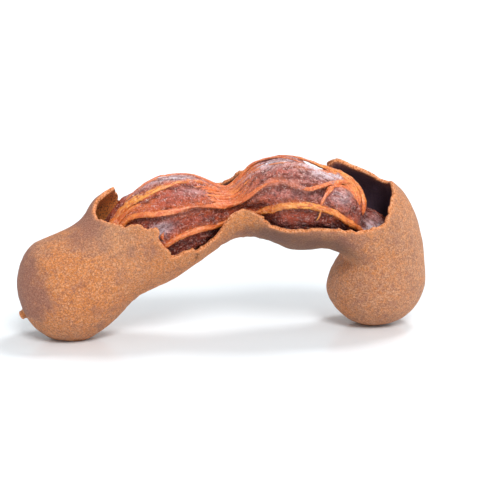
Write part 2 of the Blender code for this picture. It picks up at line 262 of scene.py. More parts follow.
# A mesh from arrays, smooth shaded, with named point attributes and corner UVs. The masks of an
# attribute are its red, green and blue.
def makePiece(name, node, points, quads, triangles, material, masks, cornerUv):
    mesh = bpy.data.meshes.new(name)
    mesh.from_pydata(inMetres(points).tolist(), [], quads.tolist() + triangles.tolist())
    for title, values in masks.items():
        layer = mesh.color_attributes.new(title, "FLOAT_COLOR", "POINT")
        layer.data.foreach_set("color", np.column_stack([values, np.ones(len(points))]).ravel())
    mesh.uv_layers.new(name="skin").data.foreach_set("uv", cornerUv.ravel())
    work = bmesh.new()
    work.from_mesh(mesh)
    bmesh.ops.remove_doubles(work, verts=work.verts, dist=meshFinish["weld"])
    bmesh.ops.dissolve_degenerate(work, edges=work.edges, dist=meshFinish["sliver"])
    work.to_mesh(mesh)
    work.free()
    piece = placeMesh(name, mesh, material)
    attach(piece, "root")
    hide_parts(node)
    print(name + ":", len(mesh.polygons), "faces")


def placeMesh(name, mesh, material):  # a smooth object at the origin
    mesh.polygons.foreach_set("use_smooth", np.ones(len(mesh.polygons), bool))
    mesh.update()
    piece = bpy.data.objects.new(name, mesh)
    bpy.context.scene.collection.objects.link(piece)
    mesh.materials.append(material)
    return piece


# A node with its settings and inputs; an input may be a value or another node's output.
def addNode(tree, kind, settings=None, inputs=None):
    made = tree.nodes.new(kind)
    for key, value in (settings or {}).items():
        setattr(made, key, value)
    for key, value in (inputs or {}).items():
        if isinstance(value, bpy.types.NodeSocket):
            tree.links.new(value, made.inputs[key])
        else:
            made.inputs[key].default_value = value
    return made


def newMaterial(name, settings):
    material = bpy.data.materials.new(name)
    material.use_nodes = True
    shader = material.node_tree.nodes["Principled BSDF"]
    for key, value in settings.items():
        shader.inputs[key].default_value = value
    return material, material.node_tree, shader


def treeOf(*values):  # the node tree of the first value that is a node's output
    return next(value.id_data for value in values if isinstance(value, bpy.types.NodeSocket))


def mixColour(share, first, second):
    return addNode(treeOf(share, first, second), "ShaderNodeMix", {"data_type": "RGBA"},
                   {0: share, 6: first, 7: second}).outputs[2]


# Lays colours over a body one after the other, each by its share of 0 to 1.
def layColours(body, look, layers):
    for share, colour in layers:
        body = mixColour(share, body, look[colour])
    return body


def calc(operation, *values):  # one Math node
    return addNode(treeOf(*values), "ShaderNodeMath", {"operation": operation},
                   dict(enumerate(values))).outputs[0]


def times(first, second):
    return calc("MULTIPLY", first, second)


def weighted(*pairs):  # sum of each value times its weight
    total = times(*pairs[0])
    for value, weight in pairs[1:]:
        total = calc("ADD", total, times(value, weight))
    return total


def spread(value, low, high, toLow=0.0, toHigh=1.0):  # clamped remap
    return addNode(treeOf(value), "ShaderNodeMapRange", {"clamp": True}, {
        "Value": value, "From Min": low, "From Max": high,
        "To Min": toLow, "To Max": toHigh}).outputs["Result"]


# Soft noise; its settings are scale, detail, roughness and distortion.
def noise(vector, scale, detail=3.0, rough=0.55, warp=0.0):
    return addNode(treeOf(vector), "ShaderNodeTexNoise", None, {
        "Vector": vector, "Scale": scale, "Detail": detail, "Roughness": rough,
        "Distortion": warp}).outputs["Fac"]


def noises(vector, table):
    return [noise(vector, *settings) for settings in table]


def channels(tree, attribute):  # red, green and blue of a point attribute
    source = addNode(tree, "ShaderNodeAttribute", {"attribute_name": attribute})
    split = addNode(tree, "ShaderNodeSeparateColor", None, {"Color": source.outputs["Color"]})
    return split.outputs["Red"], split.outputs["Green"], split.outputs["Blue"]


def objectSpot(tree):
    return addNode(tree, "ShaderNodeTexCoord").outputs["Object"]


def stretchedUv(tree, scale):  # the piece's own UV, drawn out for streaks
    uv = addNode(tree, "ShaderNodeUVMap", {"uv_map": "skin"}).outputs["UV"]
    return addNode(tree, "ShaderNodeMapping", None, {"Vector": uv, "Scale": scale}).outputs["Vector"]


def raiseBumps(shader, height, strength, distance, sockets=("Normal",)):
    tree = treeOf(height)
    bump = addNode(tree, "ShaderNodeBump", None, {
        "Strength": strength, "Distance": distance, "Height": height})
    for socket in sockets:
        tree.links.new(bump.outputs["Normal"], shader.inputs[socket])


shellFinish = {
    "tan": (0.59, 0.250, 0.116, 1.0),
    "orange": (0.72, 0.238, 0.054, 1.0),
    "plum": (0.33, 0.126, 0.088, 1.0),
    "fleck": (0.13, 0.050, 0.030, 1.0),
    "pale": (0.86, 0.50, 0.30, 1.0),
    "rim": (0.86, 0.265, 0.066, 1.0),
    # rimPale: pale grains on the raw edge, partly its grain and partly painted highlights
    "rimPale": (0.98, 0.62, 0.40, 1.0),
    "lining": (0.92, 0.30, 0.072, 1.0),
    "pit": (0.16, 0.040, 0.014, 1.0),
    "seam": (0.44, 0.125, 0.036, 1.0),
    # painted shade: near black for the inner skin of the empty far half
    "hollowShade": (0.080, 0.056, 0.100, 1.0),
    "shade": (0.12, 0.060, 0.042, 1.0),
    "shader": {"Roughness": 0.66, "Specular IOR Level": 0.30, "Sheen Weight": 0.07,
               "Sheen Roughness": 0.4, "Sheen Tint": (1.0, 0.80, 0.66, 1.0)},
    # scale, detail, roughness, distortion of: broad, patch, blotch, field, grain, fine
    "noises": ((105.0, 2.0, 0.5), (360.0, 4.0, 0.6, 0.4), (620.0, 3.0, 0.6), (2300.0, 2.0, 0.5),
               (2300.0, 3.0, 0.7), (4600.0, 2.0, 0.6)),
    "netWaves": 20.0,
    "granules": 2700.0,
    "bendScale": 900.0,
    "bendReach": (0.0009, 0.0009, 0.0009),
    "wrinkleStretch": (95.0, 12.0, 1.0),
    # how strongly each layer covers the ones below; light is painted light, underside is painted shade
    "cover": {"blotchOrange": 0.60, "blotchPlum": 0.50, "darkGranule": 0.52, "paleGranule": 0.46,
              "plumPatch": 0.85, "light": 0.35, "gap": 0.50, "net": 0.26, "line": 0.30,
              "darkGrain": 0.55, "underside": 0.85, "pit": 0.8, "rimGrain": 0.65},
    "bump": (0.8, 0.00028),
}


# Dry shell: tan with orange and plum-brown patches, granules that are lighter or darker cell by
# cell, a meandering net of pale lines and dark gaps over them (the sine of a noise field),
# cross wrinkles in the waists, a raw orange torn edge with pale grains that are partly painted
# highlights, an orange lining with dark pits that gives way to a painted hollow shade, painted
# light on some patches and painted shade on the underside and in the crack.
def makeShellMaterial():
    look, cover = shellFinish, shellFinish["cover"]
    material, tree, shader = newMaterial("pod_shell_skin", look["shader"])
    spot = objectSpot(tree)
    rim, waist, inside = channels(tree, "finish")
    # the tone's blue is painted shade, on the underside of the far half and in the crack
    plum, orange, paintedShade = channels(tree, "tone")
    # painted light: this attribute's red makes patches paler where more light falls
    light = channels(tree, "paintedLight")[0]
    broad, patch, blotch, field, grain, fine = noises(spot, look["noises"])
    net = calc("SINE", times(field, look["netWaves"]))
    bend = addNode(tree, "ShaderNodeTexNoise", None, {"Vector": spot, "Scale": look["bendScale"]})
    bent = addNode(tree, "ShaderNodeVectorMath", {"operation": "MULTIPLY_ADD"}, {
        0: bend.outputs["Color"], 1: look["bendReach"], 2: spot})
    cells = addNode(tree, "ShaderNodeTexVoronoi", {"feature": "F1"}, {
        "Vector": bent.outputs["Vector"], "Scale": look["granules"], "Randomness": 1.0})
    split = addNode(tree, "ShaderNodeSeparateColor", None, {"Color": cells.outputs["Color"]})
    granule = split.outputs["Red"]
    hump = spread(cells.outputs["Distance"], 0.25, 0.75, 1.0, 0.0)
    mottle = weighted((broad, 0.55), (patch, 0.45))
    warmth = spread(calc("ADD", mottle, times(orange, 0.30)), 0.46, 0.66)
    # plum patches where the plum tone is high and the mottle low, the shell's own colour
    plumPatch = spread(calc("SUBTRACT", calc("MULTIPLY_ADD", plum, 0.30, 0.38), mottle), -0.06, 0.14)
    gaps = times(spread(hump, 0.55, 0.05), spread(grain, 0.30, 0.62, 0.35, 0.9))
    lines = times(spread(net, 0.15, 0.95), spread(fine, 0.35, 0.65, 0.3, 1.0))
    body = layColours(mixColour(warmth, look["tan"], look["orange"]), look, (
        (spread(blotch, 0.50, 0.66, 0.0, cover["blotchOrange"]), "orange"),
        (spread(blotch, 0.48, 0.32, 0.0, cover["blotchPlum"]), "plum"),
        (spread(granule, 0.42, 0.05, 0.0, cover["darkGranule"]), "plum"),
        (spread(granule, 0.58, 0.98, 0.0, cover["paleGranule"]), "pale"),
        (times(plumPatch, cover["plumPatch"]), "plum"),
        # painted light: patches made paler where more light falls
        (times(light, cover["light"]), "pale"),
        (times(gaps, cover["gap"]), "fleck"),
        (spread(net, -0.1, -0.95, 0.0, cover["net"]), "fleck"),
        (times(lines, cover["line"]), "pale"),
        (spread(grain, 0.40, 0.27, 0.0, cover["darkGrain"]), "fleck"),
        # painted shade on the underside of the far half and in the crack
        (times(paintedShade, cover["underside"]), "shade")))
    lining = mixColour(spread(field, 0.52, 0.34, 0.0, cover["pit"]), look["lining"], look["pit"])
    # on the inner skin the lining gives way to the painted hollow shade where the orange share falls
    body = mixColour(inside, body, mixColour(orange, look["hollowShade"], lining))
    edge = mixColour(spread(field, 0.36, 0.50), look["seam"], look["rim"])
    # pale grains on the raw edge, partly its grain and partly painted highlights
    edge = layColours(edge, look, ((spread(grain, 0.48, 0.60, 0.0, cover["rimGrain"]), "rimPale"),))
    tree.links.new(mixColour(rim, body, edge), shader.inputs["Base Color"])
    wrinkle = noise(stretchedUv(tree, look["wrinkleStretch"]), 1.0, 3.0, 0.6, 0.3)
    height = weighted((wrinkle, calc("MULTIPLY_ADD", waist, 1.6, 0.2)), (hump, 0.55), (net, 0.15),
                      (grain, 0.9), (fine, 0.3))
    raiseBumps(shader, height, *look["bump"])
    return material


shellShape = {
    # torn edge: distance along the axis, degrees round
    "tornEdge": (
        (36.9, -6), (35, 0), (33, 4), (31.2, 7), (30.3, 13), (30, 21), (30.1, 30), (31, 38), (32.2, 47),
        (33.4, 54), (35.2, 62), (37, 66), (38.4, 69), (39.6, 77), (41.6, 80), (42, 86), (41, 91),
        (41.4, 99), (41.8, 105), (42.2, 112), (41.3, 119), (43.4, 123), (46.2, 124), (48.4, 128),
        (49.4, 137), (50.6, 134), (52, 134), (54.3, 129), (56.2, 125), (57.6, 119), (58.1, 111),
        (59.1, 104), (60.5, 96), (62.6, 88), (64.6, 87), (66.2, 92), (67.2, 99), (68.4, 104),
        (69.6, 113), (70.8, 119), (73, 122), (76.8, 118), (80.3, 112), (83.6, 107), (87, 105), (90, 100),
        (92.5, 91), (94.7, 80), (96.1, 70), (96.8, 61), (96.3, 52), (95.9, 45), (95.9, 38), (95.8, 31),
        (95.6, 24), (95.5, 16), (95.4, 7), (95.6, -3), (95.9, -11), (96.1, -19), (96, -25), (95.3, -28),
        (94.2, -27), (93.2, -27), (92.2, -28), (91, -29), (89.4, -30), (87.9, -32), (86.9, -37),
        (86.8, -45), (86, -52), (83, -56), (78, -54), (73, -52), (70, -44), (68.4, -30), (67.2, -18),
        (66.3, -11), (65.3, -9), (64.4, -14), (63.8, -24), (63.1, -38), (61, -49), (57, -56), (52, -60),
        (46, -62), (41, -62), (37.5, -58), (35.6, -47), (35.9, -36), (36.2, -20),
    ),
    "sheetRadius": 12.0,       # turns are laid out flat at this radius
    "poleGap": (0.35, 0.2),    # girth left free at the two tips
    "denseFrom": 34.0,         # girth where the rows get close
    "denseTo": 107.0,
    "denseStep": 0.40,
    "wideStep": 0.62,
    "columns": 196,
    "outlineStep": 0.22,
    "rimJitter": 0.36,
    "rimSize": (1.5, 0.7),     # coarse and fine ragged teeth
    "rimWidth": 0.26,          # how far the raw edge colour reaches on the skin
    "rimFar": 9.0,             # distance given to spots nowhere near the edge
    "rimSearch": (70.5, 37.5),     # middle and half length of the girth where it is measured
    # rows of the broken face: share of the outer skin, reach towards the hole, more reach by
    # noise, size and seed of that noise
    "broken": ((0.68, 0.10, 0.22, 0.6, 91), (0.32, 0.14, 0.24, 0.9, 95)),
    "narrow": (12.4, 2.6),     # radius over the axis below which a waist begins, and its fade
    "stalkWaist": (27.5, 5.0, 0.5),    # along, reach, strength
    "innerTips": np.array([(0.9, 0.2, 0.5), (0.0, 0.0, 1.3)]),
    "sink": 0.12,              # keeps the relief within the solid's size
    "lowest": (0.0, 0.9),      # lowest height of the outer and inner skin
    "dents": 0.20,
    "wrinkles": (0.03, 0.13),  # everywhere, and more in the waists
    "pimples": 0.04,
    "crack": 0.45,
    "suture": 0.26,
    "settle": 0.16,
    "wallChange": 0.12,
    "liningRelief": 0.10,
    # soft patches: along, reach, degrees, reach, strength
    "plum": ((28.0, 6.5, 14, 38, 1.1), (93.0, 9.0, 104, 28, 0.55), (38.0, 4.0, 100, 25, 0.35),
             (14.0, 7.0, 46, 34, 0.35)),
    "orange": ((21.0, 11.0, 105, 42, 1.0), (37.0, 12.0, 132, 38, 1.4), (50.0, 9.0, 140, 36, 1.1)),
    # light: painted light, paler patches on the first waist and the far top where more light falls
    "light": ((31.0, 6.0, 66, 28, 0.6), (30.0, 7.0, 112, 26, 0.4), (107.0, 12.0, 20, 44, 0.5)),
}


# Girth is the distance over the surface from the pole; the round ends use up more of it.
def alongFromGirth(girth):
    reach = pod["capReach"]
    quarter = reach * math.pi / 2
    full = axisLength - 2 * reach + 2 * quarter
    first = reach * (1 - np.cos(np.clip(girth, 0, quarter) / reach))
    last = reach * (1 - np.cos(np.clip(full - girth, 0, quarter) / reach))
    along = np.where(girth < quarter, first, girth - quarter + reach)
    return np.where(girth > full - quarter, axisLength - last, along)


# The torn outline on the flat sheet, cut into short steps and roughened by noise along its normal.
def roughOutline():
    shift = pod["capReach"] * (math.pi / 2 - 1)
    corners = np.array(shellShape["tornEdge"], float)
    corners = np.column_stack([corners[:, 0] + shift,
                               np.radians(corners[:, 1]) * shellShape["sheetRadius"]])
    closed = np.vstack([corners, corners[:1]])
    knots = runningLength(np.diff(closed, axis=0))
    at = np.arange(0.0, knots[-1], shellShape["outlineStep"])
    line = np.stack([np.interp(at, knots, closed[:, 0]), np.interp(at, knots, closed[:, 1])], -1)
    aim = unit(np.roll(line, -2, axis=0) - np.roll(line, 2, axis=0))
    square = np.stack([-aim[:, 1], aim[:, 0]], -1)
    here = np.column_stack([line, np.zeros(len(line))])
    coarse, small = shellShape["rimSize"]
    rough = 0.8 * latticeNoise(here, coarse, 5) + 0.7 * latticeNoise(here, small, 6)
    return line + square * (rough * shellShape["rimJitter"])[:, None]


def insideOutline(points, outline):  # even-odd rule, one outline side at a time
    stop = np.roll(outline, -1, axis=0)
    inside = np.zeros(len(points), bool)
    for (ax, ay), (bx, by) in zip(outline.tolist(), stop.tolist()):
        if ay == by:
            continue
        crosses = (ay > points[:, 1]) != (by > points[:, 1])
        inside ^= crosses & (points[:, 0] < ax + (points[:, 1] - ay) / (by - ay) * (bx - ax))
    return inside


def nearestOnOutline(points, outline):
    side = np.roll(outline, -1, axis=0) - outline
    reach = points[:, None, :] - outline[None]
    share = np.clip((reach * side).sum(-1) / ((side * side).sum(-1) + 1e-12), 0, 1)
    spots = outline[None] + share[..., None] * side[None]
    away = np.linalg.norm(points[:, None, :] - spots, axis=-1)
    best = away.argmin(axis=1)
    index = np.arange(len(points))
    return spots[index, best], away[index, best]


# A crack that runs down from the notch in the lower edge: 1 on its line, 0 a little away.
def crackDepth(along, degrees):
    line = 49.3 - (degrees - 134) * 0.09 + 0.35 * np.sin(degrees * 0.9)
    return softBump(along, line, 0.30) * band(degrees, 130, 3, 158, 12)


# Outward relief of the dry shell: broad dents, cross wrinkles in the waists, small pimples, the
# crack, and a raised seam under the stalk end.
def shellRelief(points, along, turn, waist):
    shape = shellShape
    sheet = np.stack([along / 0.95, turn * shape["sheetRadius"] / 8.0, np.zeros(len(along))], -1)
    plain, more = shape["wrinkles"]
    degrees = wrapDegrees(turn)
    relief = shape["dents"] * layeredNoise(points, 8.5, 11, 3)
    relief += (plain + more * waist) * layeredNoise(sheet, 1.0, 41, 2)
    relief += shape["pimples"] * latticeNoise(points, 1.1, 23)
    relief -= shape["crack"] * crackDepth(along, degrees)
    seam = softBump(degrees, 163 + 3 * np.sin(along * 0.3), 3.5)
    relief += shape["suture"] * seam * fall(along, 24, 9)
    return relief - shape["settle"] - shape["sink"]


# How plum and orange each spot of the shell is, how much painted light lightens it and how much painted
# shade darkens it, from 0 to 1.
def shellTones(along, degrees):
    plum = sum(patches(along, degrees, shellShape["plum"]))
    plum += 0.9 * fall(along, 15, 10) * fall(degrees, 125, 40)
    plum += 0.55 * softBump(along, 72, 16) * rise(degrees, 90, 30)
    orange = sum(patches(along, degrees, shellShape["orange"])) + 0.25 * softBump(along, 62, 9)
    light = sum(patches(along, degrees, shellShape["light"]))
    # painted shade on the underside from the second waist on, and along the crack
    paintedShade = 0.8 * rise(np.abs(degrees), 104, 26) * band(along, 58, 12, 104, 10)
    paintedShade = np.maximum(paintedShade, crackDepth(along, degrees) * 0.9)
    return [np.clip(tone, 0, 1) for tone in (plum, orange, light, paintedShade)]


# The shell: two skins over the flat sheet with the torn outline cut out, and two ragged rows of
# broken face between them.
def buildShell(material):
    shape = shellShape
    full = axisLength + pod["capReach"] * (math.pi - 2)
    first, last = shape["poleGap"]
    girths = np.concatenate([
        np.arange(first, shape["denseFrom"], shape["wideStep"]),
        np.arange(shape["denseFrom"], shape["denseTo"], shape["denseStep"]),
        np.arange(shape["denseTo"], full - last, shape["wideStep"])])
    rows, columns = len(girths), shape["columns"]
    girth, turn = np.meshgrid(girths, circleTurns(columns, -math.pi), indexing="ij")
    sheet = np.stack([girth.ravel(), turn.ravel() * shape["sheetRadius"]], -1)
    outline = roughOutline()

    faces = roundGridFaces(rows, columns)
    wraps = (faces % columns == columns - 1).any(axis=1) & (faces % columns == 0).any(axis=1)
    gone = insideOutline(sheet[faces].mean(axis=1), outline) & ~wraps
    kept = faces[~gone]
    used, lost = np.zeros((2, len(sheet)), bool)
    used[kept.ravel()] = True
    lost[faces[gone].ravel()] = True
    border = np.flatnonzero(used & lost)
    sheet[border] = nearestOnOutline(sheet[border], outline)[0]
    middle, half = shape["rimSearch"]
    near = np.flatnonzero(used & (np.abs(sheet[:, 0] - middle) < half))
    rimAway = np.full(len(sheet), shape["rimFar"])
    for chunk in np.array_split(near, 24):
        rimAway[chunk] = nearestOnOutline(sheet[chunk], outline[::3])[1]

    along = alongFromGirth(sheet[:, 0])
    turn = sheet[:, 1] / shape["sheetRadius"]
    plain = shellPoints(along, turn)
    normal = surfaceNormals(shellPoints, along, turn)
    place, width, strength = shape["stalkWaist"]
    waist = fall(podFrames(along)[1][:, 0], *shape["narrow"])
    waist = np.clip(waist + strength * softBump(along, place, width), 0, 1)
    outer = plain + normal * shellRelief(plain, along, turn, waist)[:, None]
    wall = pod["wall"] * (1 + shape["wallChange"] * layeredNoise(plain, 3.0, 61, 2))
    lining = shape["liningRelief"] * layeredNoise(plain, 1.6, 77, 3)
    inner = plain - normal * (wall + shape["sink"] + lining)[:, None]
    for skin, lowest in zip((outer, inner), shape["lowest"]):
        skin[:, 2] = np.maximum(skin[:, 2], lowest)

    # the broken face: edges with one face on them, their spots, and the way to the hole
    sides = np.concatenate([kept[:, [0, 1]], kept[:, [1, 2]], kept[:, [2, 3]], kept[:, [3, 0]]])
    key = np.sort(sides, axis=1) @ np.array([len(sheet), 1])
    firstSeen, counts = np.unique(key, return_index=True, return_counts=True)[1:]
    bare = sides[firstSeen[counts == 1]]
    bare = bare[~np.isin(bare // columns, (0, rows - 1)).all(axis=1)]
    a, b = bare.T
    rimSpots = np.unique(bare)
    rimIndex = np.full(len(sheet), -1)
    rimIndex[rimSpots] = np.arange(len(rimSpots))
    aim = np.zeros((len(sheet), 3))
    np.add.at(aim, a, plain[b] - plain[a])
    np.add.at(aim, b, plain[b] - plain[a])
    toHole = unit(np.cross(aim[rimSpots], normal[rimSpots]))
    broken = [outer[rimSpots] * share + inner[rimSpots] * (1 - share)
              + toHole * (out + more * latticeNoise(plain[rimSpots], size, seed))[:, None]
              for share, out, more, size, seed in shape["broken"]]

    count, rimCount = len(sheet), len(rimSpots)
    tips = shellPoints(np.array([0.0, axisLength]), np.zeros(2))
    tips[:, 2] = np.maximum(tips[:, 2], shape["lowest"][0])
    points = np.concatenate([outer, inner, *broken, tips, tips + shape["innerTips"]])
    ra, rb = rimIndex[a] + count * 2, rimIndex[b] + count * 2
    sa, sb = ra + rimCount, rb + rimCount
    quads = np.concatenate([kept, kept[:, ::-1] + count, np.stack([b, a, ra, rb], -1),
                            np.stack([rb, ra, sa, sb], -1),
                            np.stack([sb, sa, a + count, b + count], -1)])
    tip = 2 * (count + rimCount)
    firstRing = np.arange(columns)
    lastRing = firstRing + (rows - 1) * columns
    triangles = np.concatenate([
        fanFaces(tip, firstRing, True), fanFaces(tip + 1, lastRing, False),
        fanFaces(tip + 2, firstRing + count, False), fanFaces(tip + 3, lastRing + count, True)])

    def overParts(*values):  # outer skin, inner skin, two broken rows, the four tips
        sizes = (count, count, rimCount, rimCount, 4)
        values = values + (0.0,) * (len(sizes) - len(values))
        return np.concatenate([np.broadcast_to(v, size) for v, size in zip(values, sizes)])

    rim = np.clip(1.5 * np.exp(-rimAway / shape["rimWidth"]), 0, 1)
    # inner skin: 1 keeps the lining, towards 0 the painted hollow shade takes over past the middle
    warm = fall(along, 60, 14) * 0.95 + 0.05
    plum, orange, light, paintedShade = shellTones(along, wrapDegrees(turn))
    masks = {
        "finish": (overParts(rim, np.exp(-rimAway / 0.6) * 0.6, 1, 1), overParts(waist),
                   overParts(0, 1, 0.3, 0.7, (0, 0, 1, 1))),
        # tone: plum, orange (on the inner skin the lining's share against the painted hollow shade) and
        # painted shade
        "tone": (overParts(plum), overParts(orange, warm, 1, 1, 1), overParts(paintedShade)),
        # painted light, paler where more light falls
        "paintedLight": (overParts(light),) * 3,
    }
    flat = np.stack([along, turn * shape["sheetRadius"]], -1)
    flat = np.concatenate([flat, flat, flat[rimSpots], flat[rimSpots],
                           [(0, 0), (axisLength, 0)] * 2])
    corner = closedUv(flat, quads, triangles, 2 * math.pi * shape["sheetRadius"], 40)
    makePiece("shell_skin", "shell", points, quads, triangles, material,
              {title: np.stack(parts, -1) for title, parts in masks.items()}, corner)


stub = {
    # onward, radius
    "profile": np.array([(1.1, 2.1), (0.5, 1.6), (0.0, 1.25), (-0.5, 1.12), (-0.9, 1.18),
                         (-1.15, 1.0), (-1.05, 0.62), (-0.95, 0.3)]),
    "sides": 22,
    "wobble": (0.10, 0.06),
    "root": 1.2,
    "lowest": 0.05,
    "tone": (0.0, 0.8, 0.0),
}


# The stub where the stalk broke off: rings round the axis at the first end, bulged and ragged.
def buildStub(material):
    profile, sides = stub["profile"], stub["sides"]
    centre, _, onward, over, front = podFrames(np.zeros(1))
    spin = circleTurns(sides)
    row = np.arange(len(profile))
    three, seven = stub["wobble"]
    wobble = 1 + three * np.sin(3 * spin + row[:, None] * 0.7) + seven * np.sin(7 * spin)
    ring = np.cos(spin)[:, None] * over + np.sin(spin)[:, None] * front
    points = (centre + profile[:, 0, None, None] * onward
              + ring * (profile[:, 1, None] * wobble)[..., None]).reshape(-1, 3)
    points = np.concatenate([points, centre + onward * stub["root"], centre + onward * profile[-1, 0]])
    points[:, 2] = np.maximum(points[:, 2], stub["lowest"])
    quads, triangles = (faces[:, ::-1] for faces in closedFaces(len(profile), sides))
    count = len(profile) * sides
    raw = np.clip((-profile[:, 0] - 0.2) / 0.8, 0, 0.75).repeat(sides)
    finish = np.zeros((count + 2, 3))
    finish[:, 0] = np.append(raw, (0.0, 0.6))
    uv = np.stack([np.append(row.repeat(sides), (0, 8)), np.append(np.tile(spin, len(row)), (0, 0))], -1)
    corner = np.concatenate([uv[quads.ravel()], uv[triangles.ravel()]]) * meshFinish["uvScale"]
    makePiece("stalk_stub", "shell", points, quads, triangles, material,
              {"finish": finish, "tone": np.broadcast_to(stub["tone"], finish.shape)}, corner)


shellMaterial = makeShellMaterial()
buildShell(shellMaterial)
buildStub(shellMaterial)
print("shell done")


pulpShape = {
    # distance along the axis, radius over, radius under, half thickness
    "stations": np.array([
        (5, 11, 11, 9.6), (15, 12.2, 11.4, 10.6), (27, 8.2, 9.2, 8.2), (33, 9.3, 9.8, 8.7),
        (39, 12, 10.8, 10.6), (46, 13, 10.4, 10.4), (53, 10.1, 8.6, 8.6), (61, 5, 5.2, 5.6),
        (69, 11.1, 8.8, 9.2), (76, 12.9, 9.6, 10.7), (86, 11.1, 7.2, 10.3), (92, 8.6, 6, 8.8),
        (95, 7.3, 5.2, 7.6), (98.5, 8.1, 4.6, 7.6), (104, 10.2, 4.9, 9.6), (112, 9.8, 7.8, 10.2),
        (119, 8, 7, 8.6)
    ]),
    "cap": 7.0,                # length of the round ends
    "clear": 0.6,              # gap to the shell's inside
    "columns": 236,
    "uvRadius": 10.0,
    "dense": (27.0, 100.0),      # where the rows are close
    "steps": (0.8, 0.36, 0.7),   # row steps before, in and after it
    "corner": 0.8,             # width of the rounding between pulp and its limit
    # windows where it may stand proud of the shell, and where the front furrow sinks it
    "proud": 3.2,
    "proudWindow": (30, 64, 26, 34, 5, 97, 4),
    "furrow": 1.9,
    "furrowWindow": (110, 40, 20, 33, 5, 74, 5),
    # steps beside a strand: height, then a band in millimetres below its line
    "ledges": (("middle", 0.35, -99, 1, 0.9, 1.2), ("middle", -0.85, 0.1, 0.9, 5, 4),
               ("lower", -0.7, 0.1, 1, 99, 1)),
    # ridges and grooves beside a strand: height, middle, width
    "ridges": (("lower", 0.25, -0.4, 0.9), ("top", 0.25, 0, 0.9), ("crest", 0.2, 0, 0.9),
               ("top", -0.35, 1.9, 0.9)),
    # dips across the back: depth, along, reach, then a band in degrees
    "dips": ((0.6, 72.0, 6.0, -95, 40, 42, 26), (2.4, 81.6, 3.2, -110, 40, 31, 9),
             (0.9, 95.2, 1.5, -50, 30, 110, 30)),
    "pleats": (0.06, 0.26),    # everywhere, and more where the skin is tight
    "lumps": 0.26,
    "crumbs": 0.15,
    # the seed's film is the strength of painted sheen on its bump
    "seed": {"along": 87.3, "degrees": 57, "radius": 3.6, "squeeze": 0.95, "height": 1.0,
             "moat": (0.2, 3.9, 0.6), "paintedSheen": 0.34},
    "knob": {"along": 77.6, "degrees": 35, "reach": 1.6, "height": 0.45},
    "swell": ((88.6, 3.2, 8, 30, 0.35),),
    # soft patches: along, reach, degrees, reach, strength
    "stain": ((36.0, 4.0, 44, 14, 0.9), (41.8, 2.4, 51, 6, 1.0), (87.4, 3.6, 40, 9, 0.8),
              (89.5, 2.4, 27, 18, 0.9), (77.6, 1.7, 35, 7, 0.9)),
    # film: patches of painted sheen, the pale lilac reflection on the tight wet skin
    "paintedSheen": ((83.0, 7.0, 30, 15, 1.0), (71.5, 6.5, 20, 13, 0.92), (48.5, 6.5, 20, 9, 0.9),
             (53.0, 3.5, 48, 7, 0.30), (42.5, 3.0, 86, 10, 0.60), (78.0, 12.0, 60, 16, 0.20),
             (98.5, 3.5, 62, 26, 0.95)),
    # ember: patches of warmer red flesh, which also thin the painted shade
    "warmRed": ((77.0, 6.5, 100, 9, 1.0), (46.5, 6.0, 54, 11, 1.0)),
}

